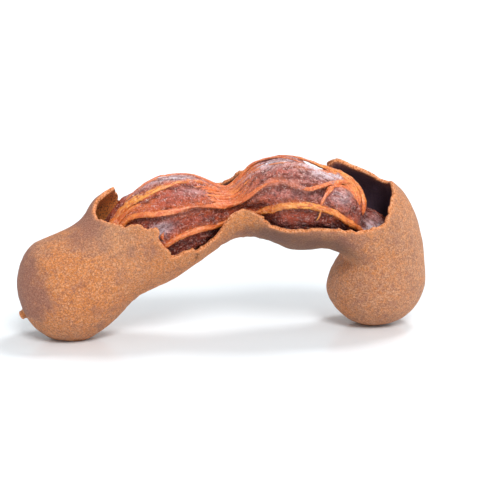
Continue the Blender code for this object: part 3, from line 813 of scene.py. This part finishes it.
# rows: distance along the axis, degrees round, share of the radius, extra lift, gold, pink; what
# is left out at a row's end is 0
strandShapes = {
    "crest": {"radius": 0.55, "flat": 0.75, "node": "strand_crest", "path": (
        (37.4, 20, 0.7, 0, 0.3, 0.3), (40, 20, 0.9, 0, 0.3, 0.6), (43.5, 20, 1, 0.1, 0.2, 0.8),
        (47.2, 15, 1, 0.1, 0.2, 0.9), (50.5, 8, 1, 0.1, 0.1, 0.8), (54, 2, 1, 0.2, 0.1, 0.5),
        (57.5, 0, 1.2, 0.2, 0.1, 0.2), (60.4, 4, 1.3, 0.1, 0.1, 0.1), (62.6, 0, 1.3, 0.2, 0.2, 0.1),
        (65, -4, 1.2, 0, 0.3, 0.1), (68, -6, 1.1, -0.2, 0.3, 0.2), (71, -5, 1, -0.4, 0.3, 0.3),
        (74, -1, 0.9, -0.45, 0.2, 0.5), (76.6, 7, 0.85, -0.35, 0.3, 0.6),
        (79.3, 14, 0.85, -0.2, 0.5, 0.2), (82.7, 18, 1.1, 0, 0.5), (85.5, 17, 1.2, 0.15, 0.5, 0.1),
        (87.6, 14, 1.4, 0.35, 0.6, 0.1), (89.4, 13, 1.5, 0.4, 0.6, 0.2), (90.9, 17, 1.5, 0.35, 0.6, 0.1),
        (91.9, 26, 1.5, 0.2, 0.5), (92.6, 37, 1.3, 0.2, 0.3), (93.1, 47, 1.1, 0, 0.1),
        (93.6, 58, 0.6, -0.1))},
    "top": {"radius": 0.95, "flat": 0.50, "node": "strand_top", "path": (
        (29.4, 46, 0.9, 0, 0.1), (32.4, 36, 1.15, 0.1, 0.2), (34.6, 31, 1.35, 0.1, 0.3),
        (37, 31, 1.45, 0.1, 0.5), (40, 34, 1.35, 0.1, 0.8), (43, 38, 1.25, 0.1, 1, 0.1),
        (46.8, 37, 1.05, 0.1, 0.9, 0.2), (50, 32, 0.90, 0.1, 0.5, 0.2), (53, 26, 0.80, 0.1, 0.3, 0.1),
        (55.5, 22, 0.75, 0.1, 0.1), (57.8, 22, 0.70, 0, 0, 0.1), (60.4, 30, 0.65, 0, 0.1, 0.1),
        (63, 32, 0.55, 0, 0.1, 0.3), (66, 28, 0.42, 0, 0.1, 0.7), (70, 26, 0.32, 0, 0, 1),
        (74, 27, 0.28, 0, 0, 1), (78, 29, 0.28, -0.1, 0, 1), (82, 31, 0.26, -0.1, 0, 1),
        (86.4, 31, 0.22, -0.1, 0, 0.9))},
    "middle": {"radius": 0.62, "flat": 0.65, "node": "strand_middle", "path": (
        (30.6, 60, 0.8), (34.5, 51, 1.1, 0.1, 0.2), (37.5, 53, 1.3, 0.1, 0.3),
        (39.8, 58, 1.3, 0.1, 0.2, 0.1), (43, 66, 1.2, 0.1, 0.2, 0.3), (46, 70, 1.1, 0.1, 0.2, 0.5),
        (49, 72, 0.9, 0, 0.1, 0.6), (51.6, 71, 0.6, 0, 0, 0.8), (54, 72, 0.6, 0, 0, 0.6),
        (56.3, 73, 1, 0, 0, 0.2), (58.6, 73, 1.3, 0.1, 0, 0.1), (61, 72, 1.3, 0.1, 0, 0.2),
        (63.5, 70, 1.1, 0.1, 0.1, 0.3), (66.4, 64, 0.9, 0.1, 0, 0.2), (70, 56, 0.6, 0, 0, 0.1),
        (73, 54, 0.5, -0.3, 0, 0.3), (75.6, 58, 0.3, -0.8, 0, 0.3), (77.6, 62, 0.5, -0.4, 0, 0.1),
        (79.2, 62, 0.85, 0.1, 0.1, 0.2), (82.5, 54, 0.85, 0.1, 0.2, 0.3), (85.4, 42, 0.95, 0, 0.1, 0.1),
        (87.6, 32, 1, 0.2, 0.3, 0.1), (89.2, 24, 1, 0.5, 0.4, 0.1))},
    "lower": {"radius": 0.75, "flat": 0.75, "node": "strand_lower", "path": (
        (38.6, 110, 0.8, 0.1), (42, 111, 1, 0.1, 0.1), (46, 109, 1.1, 0.1, 0.2, 0.1),
        (49.7, 111, 1.1, 0.1, 0.2, 0.2), (53.3, 114, 1, 0.1, 0.2, 0.1), (56.8, 121, 0.85, 0, 0.2),
        (59.5, 121, 0.8, 0, 0.1), (62.5, 112, 0.8, 0, 0.1), (65, 108, 0.9, 0, 0.2),
        (67.4, 104, 1, 0.1, 0.3), (69.8, 95, 1.1, 0.1, 0.4), (72.8, 86, 1.15, 0.1, 0.6, 0.1),
        (76, 83, 1.15, 0.1, 0.8, 0.1), (79.4, 81, 1.1, 0.1, 0.9), (83, 81, 1.1, 0.1, 0.7),
        (86.6, 82, 1.05, 0.1, 0.5), (90.8, 86, 1, 0.1, 0.3), (95.2, 83, 0.9, 0.1, 0.1),
        (97.2, 82, 0.7))},
}

# short fibres that branch off the four long ones or lie loose on the pulp, with the same rows
looseFibres = {
    "branch": {"radius": 0.50, "flat": 0.55, "node": "strand_lower", "path": (
        (82.8, 80, 0.9, 0.1, 0.4, 0.1), (83.1, 74, 0.8, 0, 0.2, 0.3), (83.6, 67, 0.8, 0, 0, 0.4),
        (84.2, 60, 1.1, 0, 0, 0.2), (84.8, 53, 1.5, 0, 0.1), (85.4, 47, 1.2, -0.1, 0.1))},
    "tail": {"radius": 0.24, "flat": 1.0, "node": "strand_lower", "path": (
        (83.1, 82, 1.3, 0.5, 0.8), (83, 86, 1, 0.9, 1), (82.8, 91, 0.9, 1.1, 1), (82.4, 98, 0.6, 1, 1))},
    "band": {"radius": 0.50, "flat": 0.6, "node": "strand_top", "path": (
        (30.2, 55, 0.7), (33.6, 42, 1, 0, 0.1), (36.6, 39, 1.2, 0, 0.2), (39.2, 42, 1.1, -0.1, 0.2),
        (41.4, 46, 0.8, -0.3, 0, 0.2))},
    "split": {"radius": 0.36, "flat": 0.7, "node": "strand_top", "path": (
        (31, 60, 0.7), (34, 48, 1), (36.4, 46, 1, -0.1, 0.1), (38.4, 48, 0.8, -0.3, 0, 0.2))},
    "seed": {"radius": 0.42, "flat": 0.6, "node": "strand_middle", "path": (
        (85, 52, 0.9), (85.9, 45, 1.2, 0, 0.1), (87.3, 41, 1.3), (88.8, 42, 1.1), (90, 47, 0.9, -0.1),
        (90.6, 54, 0.6, -0.3))},
    "ridge": {"radius": 0.34, "flat": 0.9, "node": "strand_crest", "path": (
        (62.4, 10, 1.1, 0.1, 0.2, 0.1), (65.5, 5, 1.1, 0.1, 0.2, 0.3), (69, 3, 1, 0.1, 0.2, 0.6),
        (73, 7, 1, -0.1, 0.1, 0.9), (76.5, 19, 0.9, -0.3, 0.1, 0.9), (79.5, 28, 0.8, -0.3, 0, 1),
        (83, 28, 0.8, -0.2, 0, 1), (86, 24, 0.7, 0, 0.2, 0.5), (88.4, 20, 0.6, 0.2, 0.2, 0.2))},
    "border": {"radius": 1.00, "flat": 0.30, "node": "strand_crest", "path": (
        (83.2, 21, 0.5, -0.2, 0.4, 0.3), (85.8, 20, 0.9, 0.1, 0.5, 0.3), (87.8, 20, 1.2, 0.2, 0.7, 0.2),
        (89.2, 23, 1.3, 0.2, 0.7, 0.1), (90.4, 30, 1.2, 0, 0.5), (91.3, 40, 1, -0.1, 0.2),
        (91.9, 50, 0.6, -0.3))},
    "hem": {"radius": 0.80, "flat": 0.30, "node": "strand_middle", "path": (
        (82.4, 27, 0.5, -0.3, 0.2, 0.9), (85.2, 26, 0.9, -0.1, 0.3, 0.8), (87.2, 27, 1.1, 0, 0.4, 0.5),
        (88.6, 31, 1.2, 0, 0.3, 0.3), (89.7, 38, 1, -0.1, 0.1, 0.1), (90.5, 47, 0.7, -0.3))},
    "curl": {"radius": 0.34, "flat": 0.8, "node": "strand_middle", "path": (
        (43, 90, 0.6, -0.2, 0.1), (42.2, 93, 1.1, 0, 0.1), (41.8, 97, 1.3, 0.1), (42, 102, 0.8))},
}

waistBundle = {
    "count": 8,
    # along, degrees of the first and last fibre, share of the radius
    "fan": np.array([(50.0, 38, 66, -0.2), (53.5, 30, 72, 0.4), (56.5, 18, 74, 0.9),
                     (59.0, 12, 75, 1.1), (61.5, 8, 73, 1.1), (64.5, 0, 68, 0.9),
                     (68.0, 2, 58, 0.4), (71.5, 12, 50, -0.2)]),
    "sway": 1.6,
    "thinnest": 0.6,
    "sides": 12,
    "lift": 0.12,
    "flat": 0.9,
}


# Fibres gathered in the narrow waist: they fan in from the left swelling, run side by side
# and fan out over the right one. A fibre's share of the fan sets its angle at each station.
def waistFibres():
    along, low, high, width = waistBundle["fan"].T
    for number in range(waistBundle["count"]):
        share = (number + 0.5) / waistBundle["count"]
        sway = waistBundle["sway"] * np.sin(1.9 * number + along * 0.55)
        pink = 0.10 + 0.12 * math.sin(2.3 * number)
        gold = 0.15 + 0.15 * math.cos(1.7 * number)
        path = np.column_stack([
            along, low + (high - low) * share + sway, np.maximum(width, waistBundle["thinnest"]),
            -0.04 - 0.4 * (1 - width), np.full((len(along), 2), (gold, pink))])
        yield number, {"path": path, "radius": 0.42 + 0.08 * math.sin(3.1 * number),
                       "flat": waistBundle["flat"], "node": "strand_middle"}


# Distance from the axis to the pulp's plain surface, held inside the shell away from the opening,
# with the direction from the axis; the two radii meet in a rounded corner, not a crease.
def pulpReach(along, turn):
    shape, table = pulpShape, pulpShape["stations"]
    centre, radii, _, over, front = podFrames(along)
    held = np.clip(along, table[0, 0], table[-1, 0])
    size = splineThrough(held, table[:, 0], table[:, 1:])
    up, out = ringParts(turn, size[:, 0], size[:, 1], size[:, 2])
    wide = np.hypot(up, out) + 1e-9
    leanUp, leanOut = up / wide, out / wide
    tall = np.where(np.cos(turn) > 0, radii[:, 0], radii[:, 1])
    room = 1 / np.sqrt((leanUp / tall) ** 2 + (leanOut / radii[:, 2]) ** 2)
    degrees = wrapDegrees(turn)
    bare = window(along, degrees, *shape["proudWindow"])
    sunk = window(along, degrees, *shape["furrowWindow"])
    limit = room - pod["wall"] - shape["clear"]
    limit = limit + shape["proud"] * bare * (1 - sunk) - shape["furrow"] * sunk
    mix = np.clip(0.5 + 0.5 * (limit - wide) / shape["corner"], 0, 1)
    reach = limit * (1 - mix) + wide * mix - shape["corner"] * mix * (1 - mix)
    return centre, reach, leanUp[:, None] * over + leanOut[:, None] * front


def fullRows(path):  # short rows filled up with zeros
    return np.array([(*row, *[0] * (6 - len(row))) for row in path], float)


# Signed distance from a strand over the surface, positive below it, and how near its ends are.
def strandOffset(name, along, degrees, reach):
    path = fullRows(strandShapes[name]["path"])
    below = np.radians(degrees - np.interp(along, path[:, 0], path[:, 1])) * reach
    return below, band(along, path[0, 0], 3, path[-1, 0], 3)


def awayFrom(place, along, degrees, reach, squeeze=1.0):  # distance over the surface
    return np.hypot(along - place["along"], np.radians(degrees - place["degrees"]) * reach * squeeze)


# Relief of the sticky pulp: steps and grooves beside the strands, folds that run along the pod,
# the round bump of a seed, and small wet grit. Also gives where the skin is tight.
def pulpRelief(points, along, degrees, reach, beside):
    shape, seed, knob = pulpShape, pulpShape["seed"], pulpShape["knob"]
    relief = sum(patches(along, degrees, shape["swell"]))
    for name, height, *edges in shape["ledges"]:
        below, inReach = beside[name]
        relief += height * inReach * band(below, *edges)
    for name, height, middle, width in shape["ridges"]:
        below, inReach = beside[name]
        relief += height * inReach * softBump(below, middle, width)
    for depth, place, width, *edges in shape["dips"]:
        relief -= depth * softBump(along, place, width) * band(degrees, *edges)
    middle, middleIn = beside["middle"]
    skin = middleIn * fall(middle, 0.5, 0.8) * rise(along, 30, 4)
    girthwise = degrees / 57.3 * reach
    folds = np.stack([along / 11.0, girthwise / 1.25, np.zeros(len(along))], -1)
    flesh = np.stack([along / 5.0, girthwise / 1.9, np.ones(len(along))], -1)
    plain, more = shape["pleats"]
    relief += (plain + more * skin) * (1 - 2.2 * np.abs(layeredNoise(folds, 1.0, 131, 2)))
    relief += shape["lumps"] * (1 - 0.6 * skin) * layeredNoise(flesh, 1.0, 151, 3)
    relief += shape["crumbs"] * layeredNoise(points, 1.5, 171, 3, 0.6)
    away = awayFrom(seed, along, degrees, reach, seed["squeeze"])
    relief += seed["height"] * np.sqrt(np.clip(1 - (away / seed["radius"]) ** 2, 0, 1))
    deep, *ring = seed["moat"]
    relief -= deep * softBump(away, *ring)
    relief += knob["height"] * softBump(awayFrom(knob, along, degrees, reach), 0, knob["reach"])
    crestLine = fullRows(strandShapes["crest"]["path"])
    behind = np.interp(along, crestLine[:, 0], crestLine[:, 1]) - degrees
    backSide = rise(behind, -4, 16) * rise(along, 36, 5)
    return relief - (0.8 + 0.6 * softBump(along, 40, 5)) * backSide, skin


# Where the pulp is stained by the strands, darkened by painted shade, covered by painted sheen, and
# warmer red, from 0 to 1.
def pulpTones(along, degrees, reach, beside):
    stain = np.max(patches(along, degrees, pulpShape["stain"]), axis=0)
    stain = np.maximum(stain, softBump(along, 61.5, 5.5) * band(degrees, -20, 20, 84, 10))
    for below, inReach in beside.values():
        stain = np.maximum(stain, 0.75 * inReach * softBump(below, 0.1, 1.25))
    lower, lowerIn = beside["lower"]
    # painted shade below the lowest strand, and at the left end inside the shell
    deep = lowerIn * np.maximum(0.25 * rise(lower, 0.3, 1.2), 0.30 * rise(lower, 1.2, 3))
    deep = np.maximum(deep, 0.6 * fall(along, 34, 4))
    # painted sheen: pale lilac reflection on the tight wet skin and the seed
    paintedSheen = np.max(patches(along, degrees, pulpShape["paintedSheen"]), axis=0)
    seed = pulpShape["seed"]
    paintedSheen = np.maximum(paintedSheen, seed["paintedSheen"] * softBump(awayFrom(seed, along, degrees, reach), 0, 2.8))
    warmRed = np.max(patches(along, degrees, pulpShape["warmRed"]), axis=0)
    return stain, deep * (1 - 0.75 * warmRed), paintedSheen, warmRed


pulpFinish = {
    "flesh": (0.13, 0.018, 0.011, 1.0),
    "warm": (0.50, 0.072, 0.024, 1.0),
    "skin": (0.56, 0.080, 0.028, 1.0),
    # deep: painted shade, near black
    "deep": (0.045, 0.014, 0.018, 1.0),
    "stain": (0.80, 0.17, 0.026, 1.0),
    # film: painted sheen, the pale lilac reflection of the wet skin
    "paintedSheen": (0.86, 0.77, 0.85, 1.0),
    # crumb: pale pink specks, partly the pulp's grit and partly painted glints
    "crumb": (0.86, 0.40, 0.32, 1.0),
    # glint: painted glints, pale spots for the highlights of the wet gloss
    "paintedGlint": (0.97, 0.64, 0.56, 1.0),
    "shader": {"Specular IOR Level": 0.15, "Coat Weight": 1.0, "Coat Roughness": 0.14},
    "streakStretch": (16.0, 90.0, 1.0),
    # scale, detail, roughness, distortion of: patch, grit, the painted glints, speck
    "noises": ((330.0, 4.0, 0.6, 0.3), (950.0, 3.0, 0.6), (2500.0, 1.0, 0.5), (1500.0, 2.0, 0.7)),
    "roughness": (0.16, 0.36),
    "bump": (1.0, 0.0007),
}


# Sticky pulp: dark red-brown flesh, a lighter skin in pleats over the upper part, orange stain
# beside the strands, a painted pale lilac sheen where the skin is tight, painted shade in the
# grooves, below the lowest strand and at the left end, pale crumbs of grit that are partly painted
# glints, and a wet gloss broken by grit and by small pale painted glints.
def makePulpMaterial():
    look = pulpFinish
    material, tree, shader = newMaterial("pod_pulp_flesh", look["shader"])
    # the finish's blue is painted shade
    skin, stain, deep = channels(tree, "finish")
    # the tone carries painted sheen, painted shade in the grooves and warmer red patches
    paintedSheen, grooveShade, warmRed = channels(tree, "tone")
    patch, grit, paintedGlint, speck = noises(objectSpot(tree), look["noises"])
    streak = noise(stretchedUv(tree, look["streakStretch"]), 1.0, 4.0, 0.6, 0.5)
    # pale crumb specks, partly the pulp's grit and partly painted glints
    gritAndGlint = times(spread(speck, 0.55, 0.63), spread(grit, 0.44, 0.58, 0.0, 0.75))
    # streaks of the painted sheen
    sheenStreaks = times(spread(streak, 0.38, 0.48, 0.20, 1.0), spread(speck, 0.34, 0.52, 0.3, 1.0))
    # painted glints: small pale highlight spots, fewer on the flesh than on the skin
    paintedGlintSpots = times(spread(paintedGlint, 0.56, 0.67), spread(grit, 0.44, 0.58, 0.12, 0.80))
    body = mixColour(spread(patch, 0.35, 0.60), look["flesh"], look["warm"])
    body = layColours(body, look, (
        (times(skin, spread(streak, 0.36, 0.62, 0.15, 0.95)), "skin"),
        (spread(speck, 0.48, 0.37, 0.0, 0.85), "flesh"),
        # pale crumb specks, partly grit and partly painted glints, fewer on the tight skin
        (times(gritAndGlint, spread(skin, 0.0, 1.0, 1.0, 0.40)), "crumb"),
        (times(warmRed, spread(patch, 0.32, 0.54, 0.35, 0.95)), "warm"),
        (spread(streak, 0.46, 0.32, 0.0, 0.7), "flesh"),
        (times(stain, spread(patch, 0.3, 0.6, 0.4, 1.0)), "stain"),
        # painted sheen
        (times(paintedSheen, sheenStreaks), "paintedSheen"),
        # painted shade in the grooves
        (times(grooveShade, 0.8), "flesh"),
        # painted shade below the lowest strand and at the left end
        (deep, "deep"),
        # painted glints
        (times(paintedGlintSpots, spread(skin, 0.0, 1.0, 0.50, 0.85)), "paintedGlint")))
    tree.links.new(body, shader.inputs["Base Color"])
    tree.links.new(spread(grit, 0.3, 0.7, *look["roughness"]), shader.inputs["Roughness"])
    height = weighted((streak, 1.0), (grit, 1.6), (speck, 1.2))
    raiseBumps(shader, height, *look["bump"], sockets=("Normal", "Coat Normal"))
    return material


# The pulp: rings at the reach of its surface plus the relief, shrunk to a tip at both ends.
def buildPulp(material):
    shape = pulpShape
    first, last = shape["stations"][[0, -1], 0]
    cap = shape["cap"]
    denseFrom, denseTo = shape["dense"]
    before, dense, after = shape["steps"]
    bend = cap * (1 - np.cos(np.linspace(0.05, math.pi / 2, 14, endpoint=False)))
    rows = np.concatenate([
        first + bend, np.arange(first + cap, denseFrom, before), np.arange(denseFrom, denseTo, dense),
        np.arange(denseTo, last - cap, after), last - bend[::-1]])
    columns = shape["columns"]
    grids = np.meshgrid(rows, circleTurns(columns, -math.pi), indexing="ij")
    along, turn = (grid.ravel() for grid in grids)
    degrees = wrapDegrees(turn)
    centre, reach, lean = pulpReach(along, turn)
    beside = {name: strandOffset(name, along, degrees, reach) for name in strandShapes}
    relief, skin = pulpRelief(centre + lean * reach[:, None], along, degrees, reach, beside)
    shrink = endShrink(along, first, last, cap)
    points = centre + lean * ((reach + relief) * shrink)[:, None]
    points = np.concatenate([points, podFrames(np.array([first, last]))[0]])
    quads, triangles = closedFaces(len(rows), columns)

    stain, deep, paintedSheen, warmRed = pulpTones(along, degrees, reach, beside)
    # painted shade in the grooves: where the relief lies below the rows and columns around it
    wide = relief.reshape(len(rows), columns)
    around = sum(np.roll(wide, hop, axis) for axis in (0, 1) for hop in (3, -3)) / 4
    grooveShade = np.clip((around - wide).ravel() * 5.0, 0, 1)
    masks = {"finish": np.stack([skin, stain, deep], -1), "tone": np.stack([paintedSheen, grooveShade, warmRed], -1)}
    masks = {title: np.concatenate([values, np.zeros((2, 3))]) for title, values in masks.items()}
    flat = np.concatenate([np.stack([along, turn * shape["uvRadius"]], -1), [(first, 0), (last, 0)]])
    corner = closedUv(flat, quads, triangles, 2 * math.pi * shape["uvRadius"], 30)
    makePiece("pulp_flesh", "pulp", points, quads, triangles, material, masks, corner)


buildPulp(makePulpMaterial())
print("pulp done")

strandFinish = {
    "orange": (0.80, 0.165, 0.024, 1.0),
    "yellow": (0.90, 0.375, 0.050, 1.0),
    "pink": (0.76, 0.250, 0.125, 1.0),
    # brown: painted shade on the side of a fibre that faces the pulp
    "brown": (0.30, 0.060, 0.018, 1.0),
    "red": (0.56, 0.085, 0.014, 1.0),
    # pale: grain specks, partly the fibres' grain and partly painted highlights
    "pale": (0.96, 0.60, 0.32, 1.0),
    "shader": {"Roughness": 0.34, "Specular IOR Level": 0.5, "Coat Weight": 0.35,
               "Coat Roughness": 0.20, "Subsurface Weight": 0.12,
               "Subsurface Radius": (1.0, 0.4, 0.15), "Subsurface Scale": 0.0008},
    "threadStretch": (45.0, 190.0, 1.0),
    # scale, detail, roughness of: patch, grain
    "noises": ((900.0, 3.0, 0.6), (2100.0, 2.0, 0.6)),
    "bump": (1.0, 0.00035),
}


# Fibre strands: orange with yellow and pinkish stretches, fine lengthwise threads, damp gloss,
# painted shade on the side that faces the pulp, pale grain specks that are partly painted highlights.
def makeStrandMaterial():
    look = strandFinish
    material, tree, shader = newMaterial("pod_strand_fibre", look["shader"])
    # the finish's green is painted shade on the side that faces the pulp
    yellow, brown, pink = channels(tree, "finish")
    thread = noise(stretchedUv(tree, look["threadStretch"]), 1.0, 3.0, 0.6, 0.2)
    patch, grain = noises(objectSpot(tree), look["noises"])
    body = layColours(mixColour(yellow, look["orange"], look["yellow"]), look, (
        (pink, "pink"),
        (spread(thread, 0.54, 0.40, 0.0, 0.92), "red"),
        (spread(patch, 0.46, 0.30, 0.0, 0.7), "red"),
        (spread(grain, 0.44, 0.30, 0.0, 0.40), "red"),
        # pale grain specks, partly the fibres' grain and partly painted highlights
        (spread(grain, 0.53, 0.67, 0.0, 0.42), "pale"),
        # painted shade on the side that faces the pulp
        (times(brown, 0.85), "brown")))
    tree.links.new(body, shader.inputs["Base Color"])
    raiseBumps(shader, weighted((thread, 0.7), (patch, 0.6), (grain, 0.9)), *look["bump"])
    return material


# what all the tubes share; a tube's own table may say otherwise
tube = {
    "layRadius": 11.0,         # turns a path's degrees into length
    "sides": 24,
    "step": 0.22,
    "lift": 0.25,
    "sway": 0.12,
    "taper": 1.2,
    "tip": 0.35,               # share of the radius at the ends
    "swell": 0.14,
    "ridges": 0.08,
    "fuzz": 0.17,
    "slot": "pod_strand",
}


# A tube carried along a path laid on a surface. Its radius follows the path and swells and thins
# with noise, its section is ridged like twisted threads, and both ends taper and close.
def strandTube(name, own, material, seed, surface=pulpReach):
    shape = {**tube, **own}
    path = fullRows(shape["path"])
    radius, sides = shape["radius"], shape["sides"]
    knots = runningLength(np.diff(path[:, :2], axis=0) * (1, math.radians(shape["layRadius"])))
    length = knots[-1]
    count = max(8, int(round(length / shape["step"])) + 1)
    at = np.linspace(0.0, length, count)
    along, degrees, share, extra, gold, pink = splineThrough(at, knots, path).T
    centre, reach, lean = surface(along, np.radians(degrees))
    onLine = np.stack([at, at * 0, at * 0], -1)
    height = shape["lift"] + extra + shape["sway"] * latticeNoise(onLine, 5.0, seed)
    middle = centre + lean * (reach + height)[:, None]
    onward = unit(np.gradient(middle, axis=0))
    side = unit(np.cross(lean, onward))
    out = np.cross(onward, side)
    ends = band(at, 0, shape["taper"], length, shape["taper"])
    thick = radius * np.clip(share, 0.2, 3.0) * (shape["tip"] + (1 - shape["tip"]) * ends)
    thick = thick * (1 + shape["swell"] * layeredNoise(onLine, 3.0, seed + 3, 3))
    spin = circleTurns(sides)
    around = np.tile(spin, count)
    rough = np.stack([np.repeat(at, sides) / 0.8, np.cos(around) * 1.3, np.sin(around) * 1.3], -1)
    ridge = 1 + shape["ridges"] * (np.sin(5 * spin + at[:, None] * 0.9 + seed)
                                   + 0.6 * np.sin(9 * spin - at[:, None] * 1.7))
    ridge += shape["fuzz"] * layeredNoise(rough, 1.0, seed + 29, 3, 0.8).reshape(count, sides)
    ring = (shape["flat"] * np.cos(spin)[None, :, None] * out[:, None]
            + np.sin(spin)[None, :, None] * side[:, None])
    points = (middle[:, None] + ring * (thick[:, None] * ridge)[..., None]).reshape(-1, 3)
    points = np.concatenate([points, [middle[0] - onward[0] * thick[0] * 0.6,
                                      middle[-1] + onward[-1] * thick[-1] * 0.6]])
    quads, triangles = closedFaces(count, sides)
    # painted shade: the side of the tube that faces the pulp
    low = rise(np.abs(wrapDegrees(spin)), 75, 60)
    finish = np.zeros((count * sides + 2, 3))
    finish[:-2] = np.stack([np.repeat(np.clip(gold, 0, 1), sides), np.tile(low, count),
                            np.repeat(np.clip(pink, 0, 1), sides)], -1)
    flat = np.concatenate([
        np.stack([np.repeat(at, sides), np.tile(spin * radius, count)], -1), [(0, 0), (length, 0)]])
    half = math.pi * radius
    corner = closedUv(flat, quads, triangles, 2 * half, half, half, fans=False)
    masks = {title: np.broadcast_to(shape[title], finish.shape)
             for title in ("finish", "tone") if title in shape} or {"finish": finish}
    makePiece(name, shape["node"], points, quads, triangles, material, masks, corner)


def shellReach(along, turn):  # the shell's surface as centre, distance and direction
    centre = podFrames(along)[0]
    away = shellPoints(along, turn) - centre
    reach = np.linalg.norm(away, axis=1)
    return centre, reach, away / reach[:, None]


# the lip's tone is plum, orange and a little painted shade
rolledLip = {
    "radius": 0.62, "flat": 0.85, "node": "shell", "slot": "pod_shell", "step": 0.2,
    "ridges": 0.16, "lift": 0.1, "finish": (0.45, 0.0, 0.1), "tone": (0.2, 0.8, 0.1), "path": (
        (91.6, -31, 0.5, -0.9), (90.4, -32, 0.8, -0.7), (89, -34, 1.1, -0.5), (87.9, -36, 1.4, -0.3),
        (87.2, -40, 1.5, -0.2), (86.9, -44, 1.2, -0.2), (87.1, -48, 0.9, -0.3)
    )}

strandMaterial = makeStrandMaterial()
for number, (name, shape) in enumerate({**strandShapes, **looseFibres}.items()):
    strandTube("fibre_" + name, shape, strandMaterial, 11 + 7 * number)
for number, shape in waistFibres():
    shape.update(sides=waistBundle["sides"], lift=waistBundle["lift"])
    strandTube("fibre_waist_" + str(number), shape, strandMaterial, 201 + 5 * number)
strandTube("shell_lip_roll", rolledLip, shellMaterial, 71, shellReach)
print("strands done")


# compass 0 is the camera's side, positive to the right
studio = {
    "sky": 0.46,
    "key": {"compass": 16, "height": 44, "spread": 22, "power": 2.2},
    "top": {"compass": 140, "height": 62, "spread": 16, "power": 1.3},
    "side": {"compass": 84, "height": 14, "spread": 44, "power": 0.85},
    "floor": {"radius": 2.4, "bend": 0.4, "height": 0.6, "sides": 72,
              "rings": (0.05, 0.12, 0.25, 0.5),
              "shader": {"Base Color": (0.89, 0.94, 0.975, 1.0), "Roughness": 0.16,
                         "Specular IOR Level": 0.3}},
    "target": (0.0065, 0.00113, 0.0216),
    "elevation": 12.0,
    "distance": 0.3704,
    "lens": 100.0,
}


# Pale floor turned round the upright axis: a wide flat disc, a quarter bend, a low wall.
def buildFloor():
    shape = studio["floor"]
    radius, sides = shape["radius"], shape["sides"]
    bend = np.linspace(0, math.pi / 2, 16)[1:]
    flat = np.concatenate([shape["rings"], np.linspace(0.8, radius, 8)])
    distance = np.concatenate([flat, radius + shape["bend"] * np.sin(bend)])
    distance = np.append(distance, distance[-1])
    height = np.concatenate([flat * 0, shape["bend"] * (1 - np.cos(bend)), [shape["height"]]])
    spin = circleTurns(sides)
    points = np.stack([distance[:, None] * np.cos(spin), distance[:, None] * np.sin(spin),
                       np.repeat(height[:, None], sides, axis=1)], -1).reshape(-1, 3)
    points = np.concatenate([points, [(0.0, 0.0, 0.0)]])
    quads = roundGridFaces(len(distance), sides)[:, ::-1]
    middle = fanFaces(len(points) - 1, np.arange(sides), False)
    mesh = bpy.data.meshes.new("studio_floor")
    mesh.from_pydata(points.tolist(), [], quads.tolist() + middle.tolist())
    placeMesh("studio_floor", mesh, newMaterial("studio_white", shape["shader"])[0])


# A wide soft sun shining from a point given by compass angle and height, in degrees.
def addSoftSun(name, lamp):
    light = bpy.data.lights.new(name, "SUN")
    light.energy = lamp["power"]
    light.angle = math.radians(lamp["spread"])
    item = bpy.data.objects.new(name, light)
    item.rotation_euler = (math.radians(90 - lamp["height"]), 0.0, math.radians(lamp["compass"]))
    bpy.context.scene.collection.objects.link(item)


def buildStudio():
    buildFloor()
    world = bpy.data.worlds.new("studio_sky")
    world.use_nodes = True
    sky = world.node_tree.nodes["Background"]
    sky.inputs["Color"].default_value = (1.0, 1.0, 1.0, 1.0)
    sky.inputs["Strength"].default_value = studio["sky"]
    scene = bpy.context.scene
    scene.world = world
    scene.view_settings.view_transform = "Standard"
    for name in ("key", "top", "side"):
        addSoftSun(name + "_light", studio[name])
    tilt = math.radians(studio["elevation"])
    aim, reach = studio["target"], studio["distance"]
    camera = bpy.data.objects.new("camera", bpy.data.cameras.new("camera"))
    camera.data.lens = studio["lens"]
    camera.data.sensor_width = 36.0
    camera.data.clip_start = 0.01
    camera.location = (aim[0], aim[1] - reach * math.cos(tilt), aim[2] + reach * math.sin(tilt))
    camera.rotation_euler = (math.pi / 2 - tilt, 0.0, 0.0)
    scene.collection.objects.link(camera)
    scene.camera = camera


buildStudio()
print("studio done")
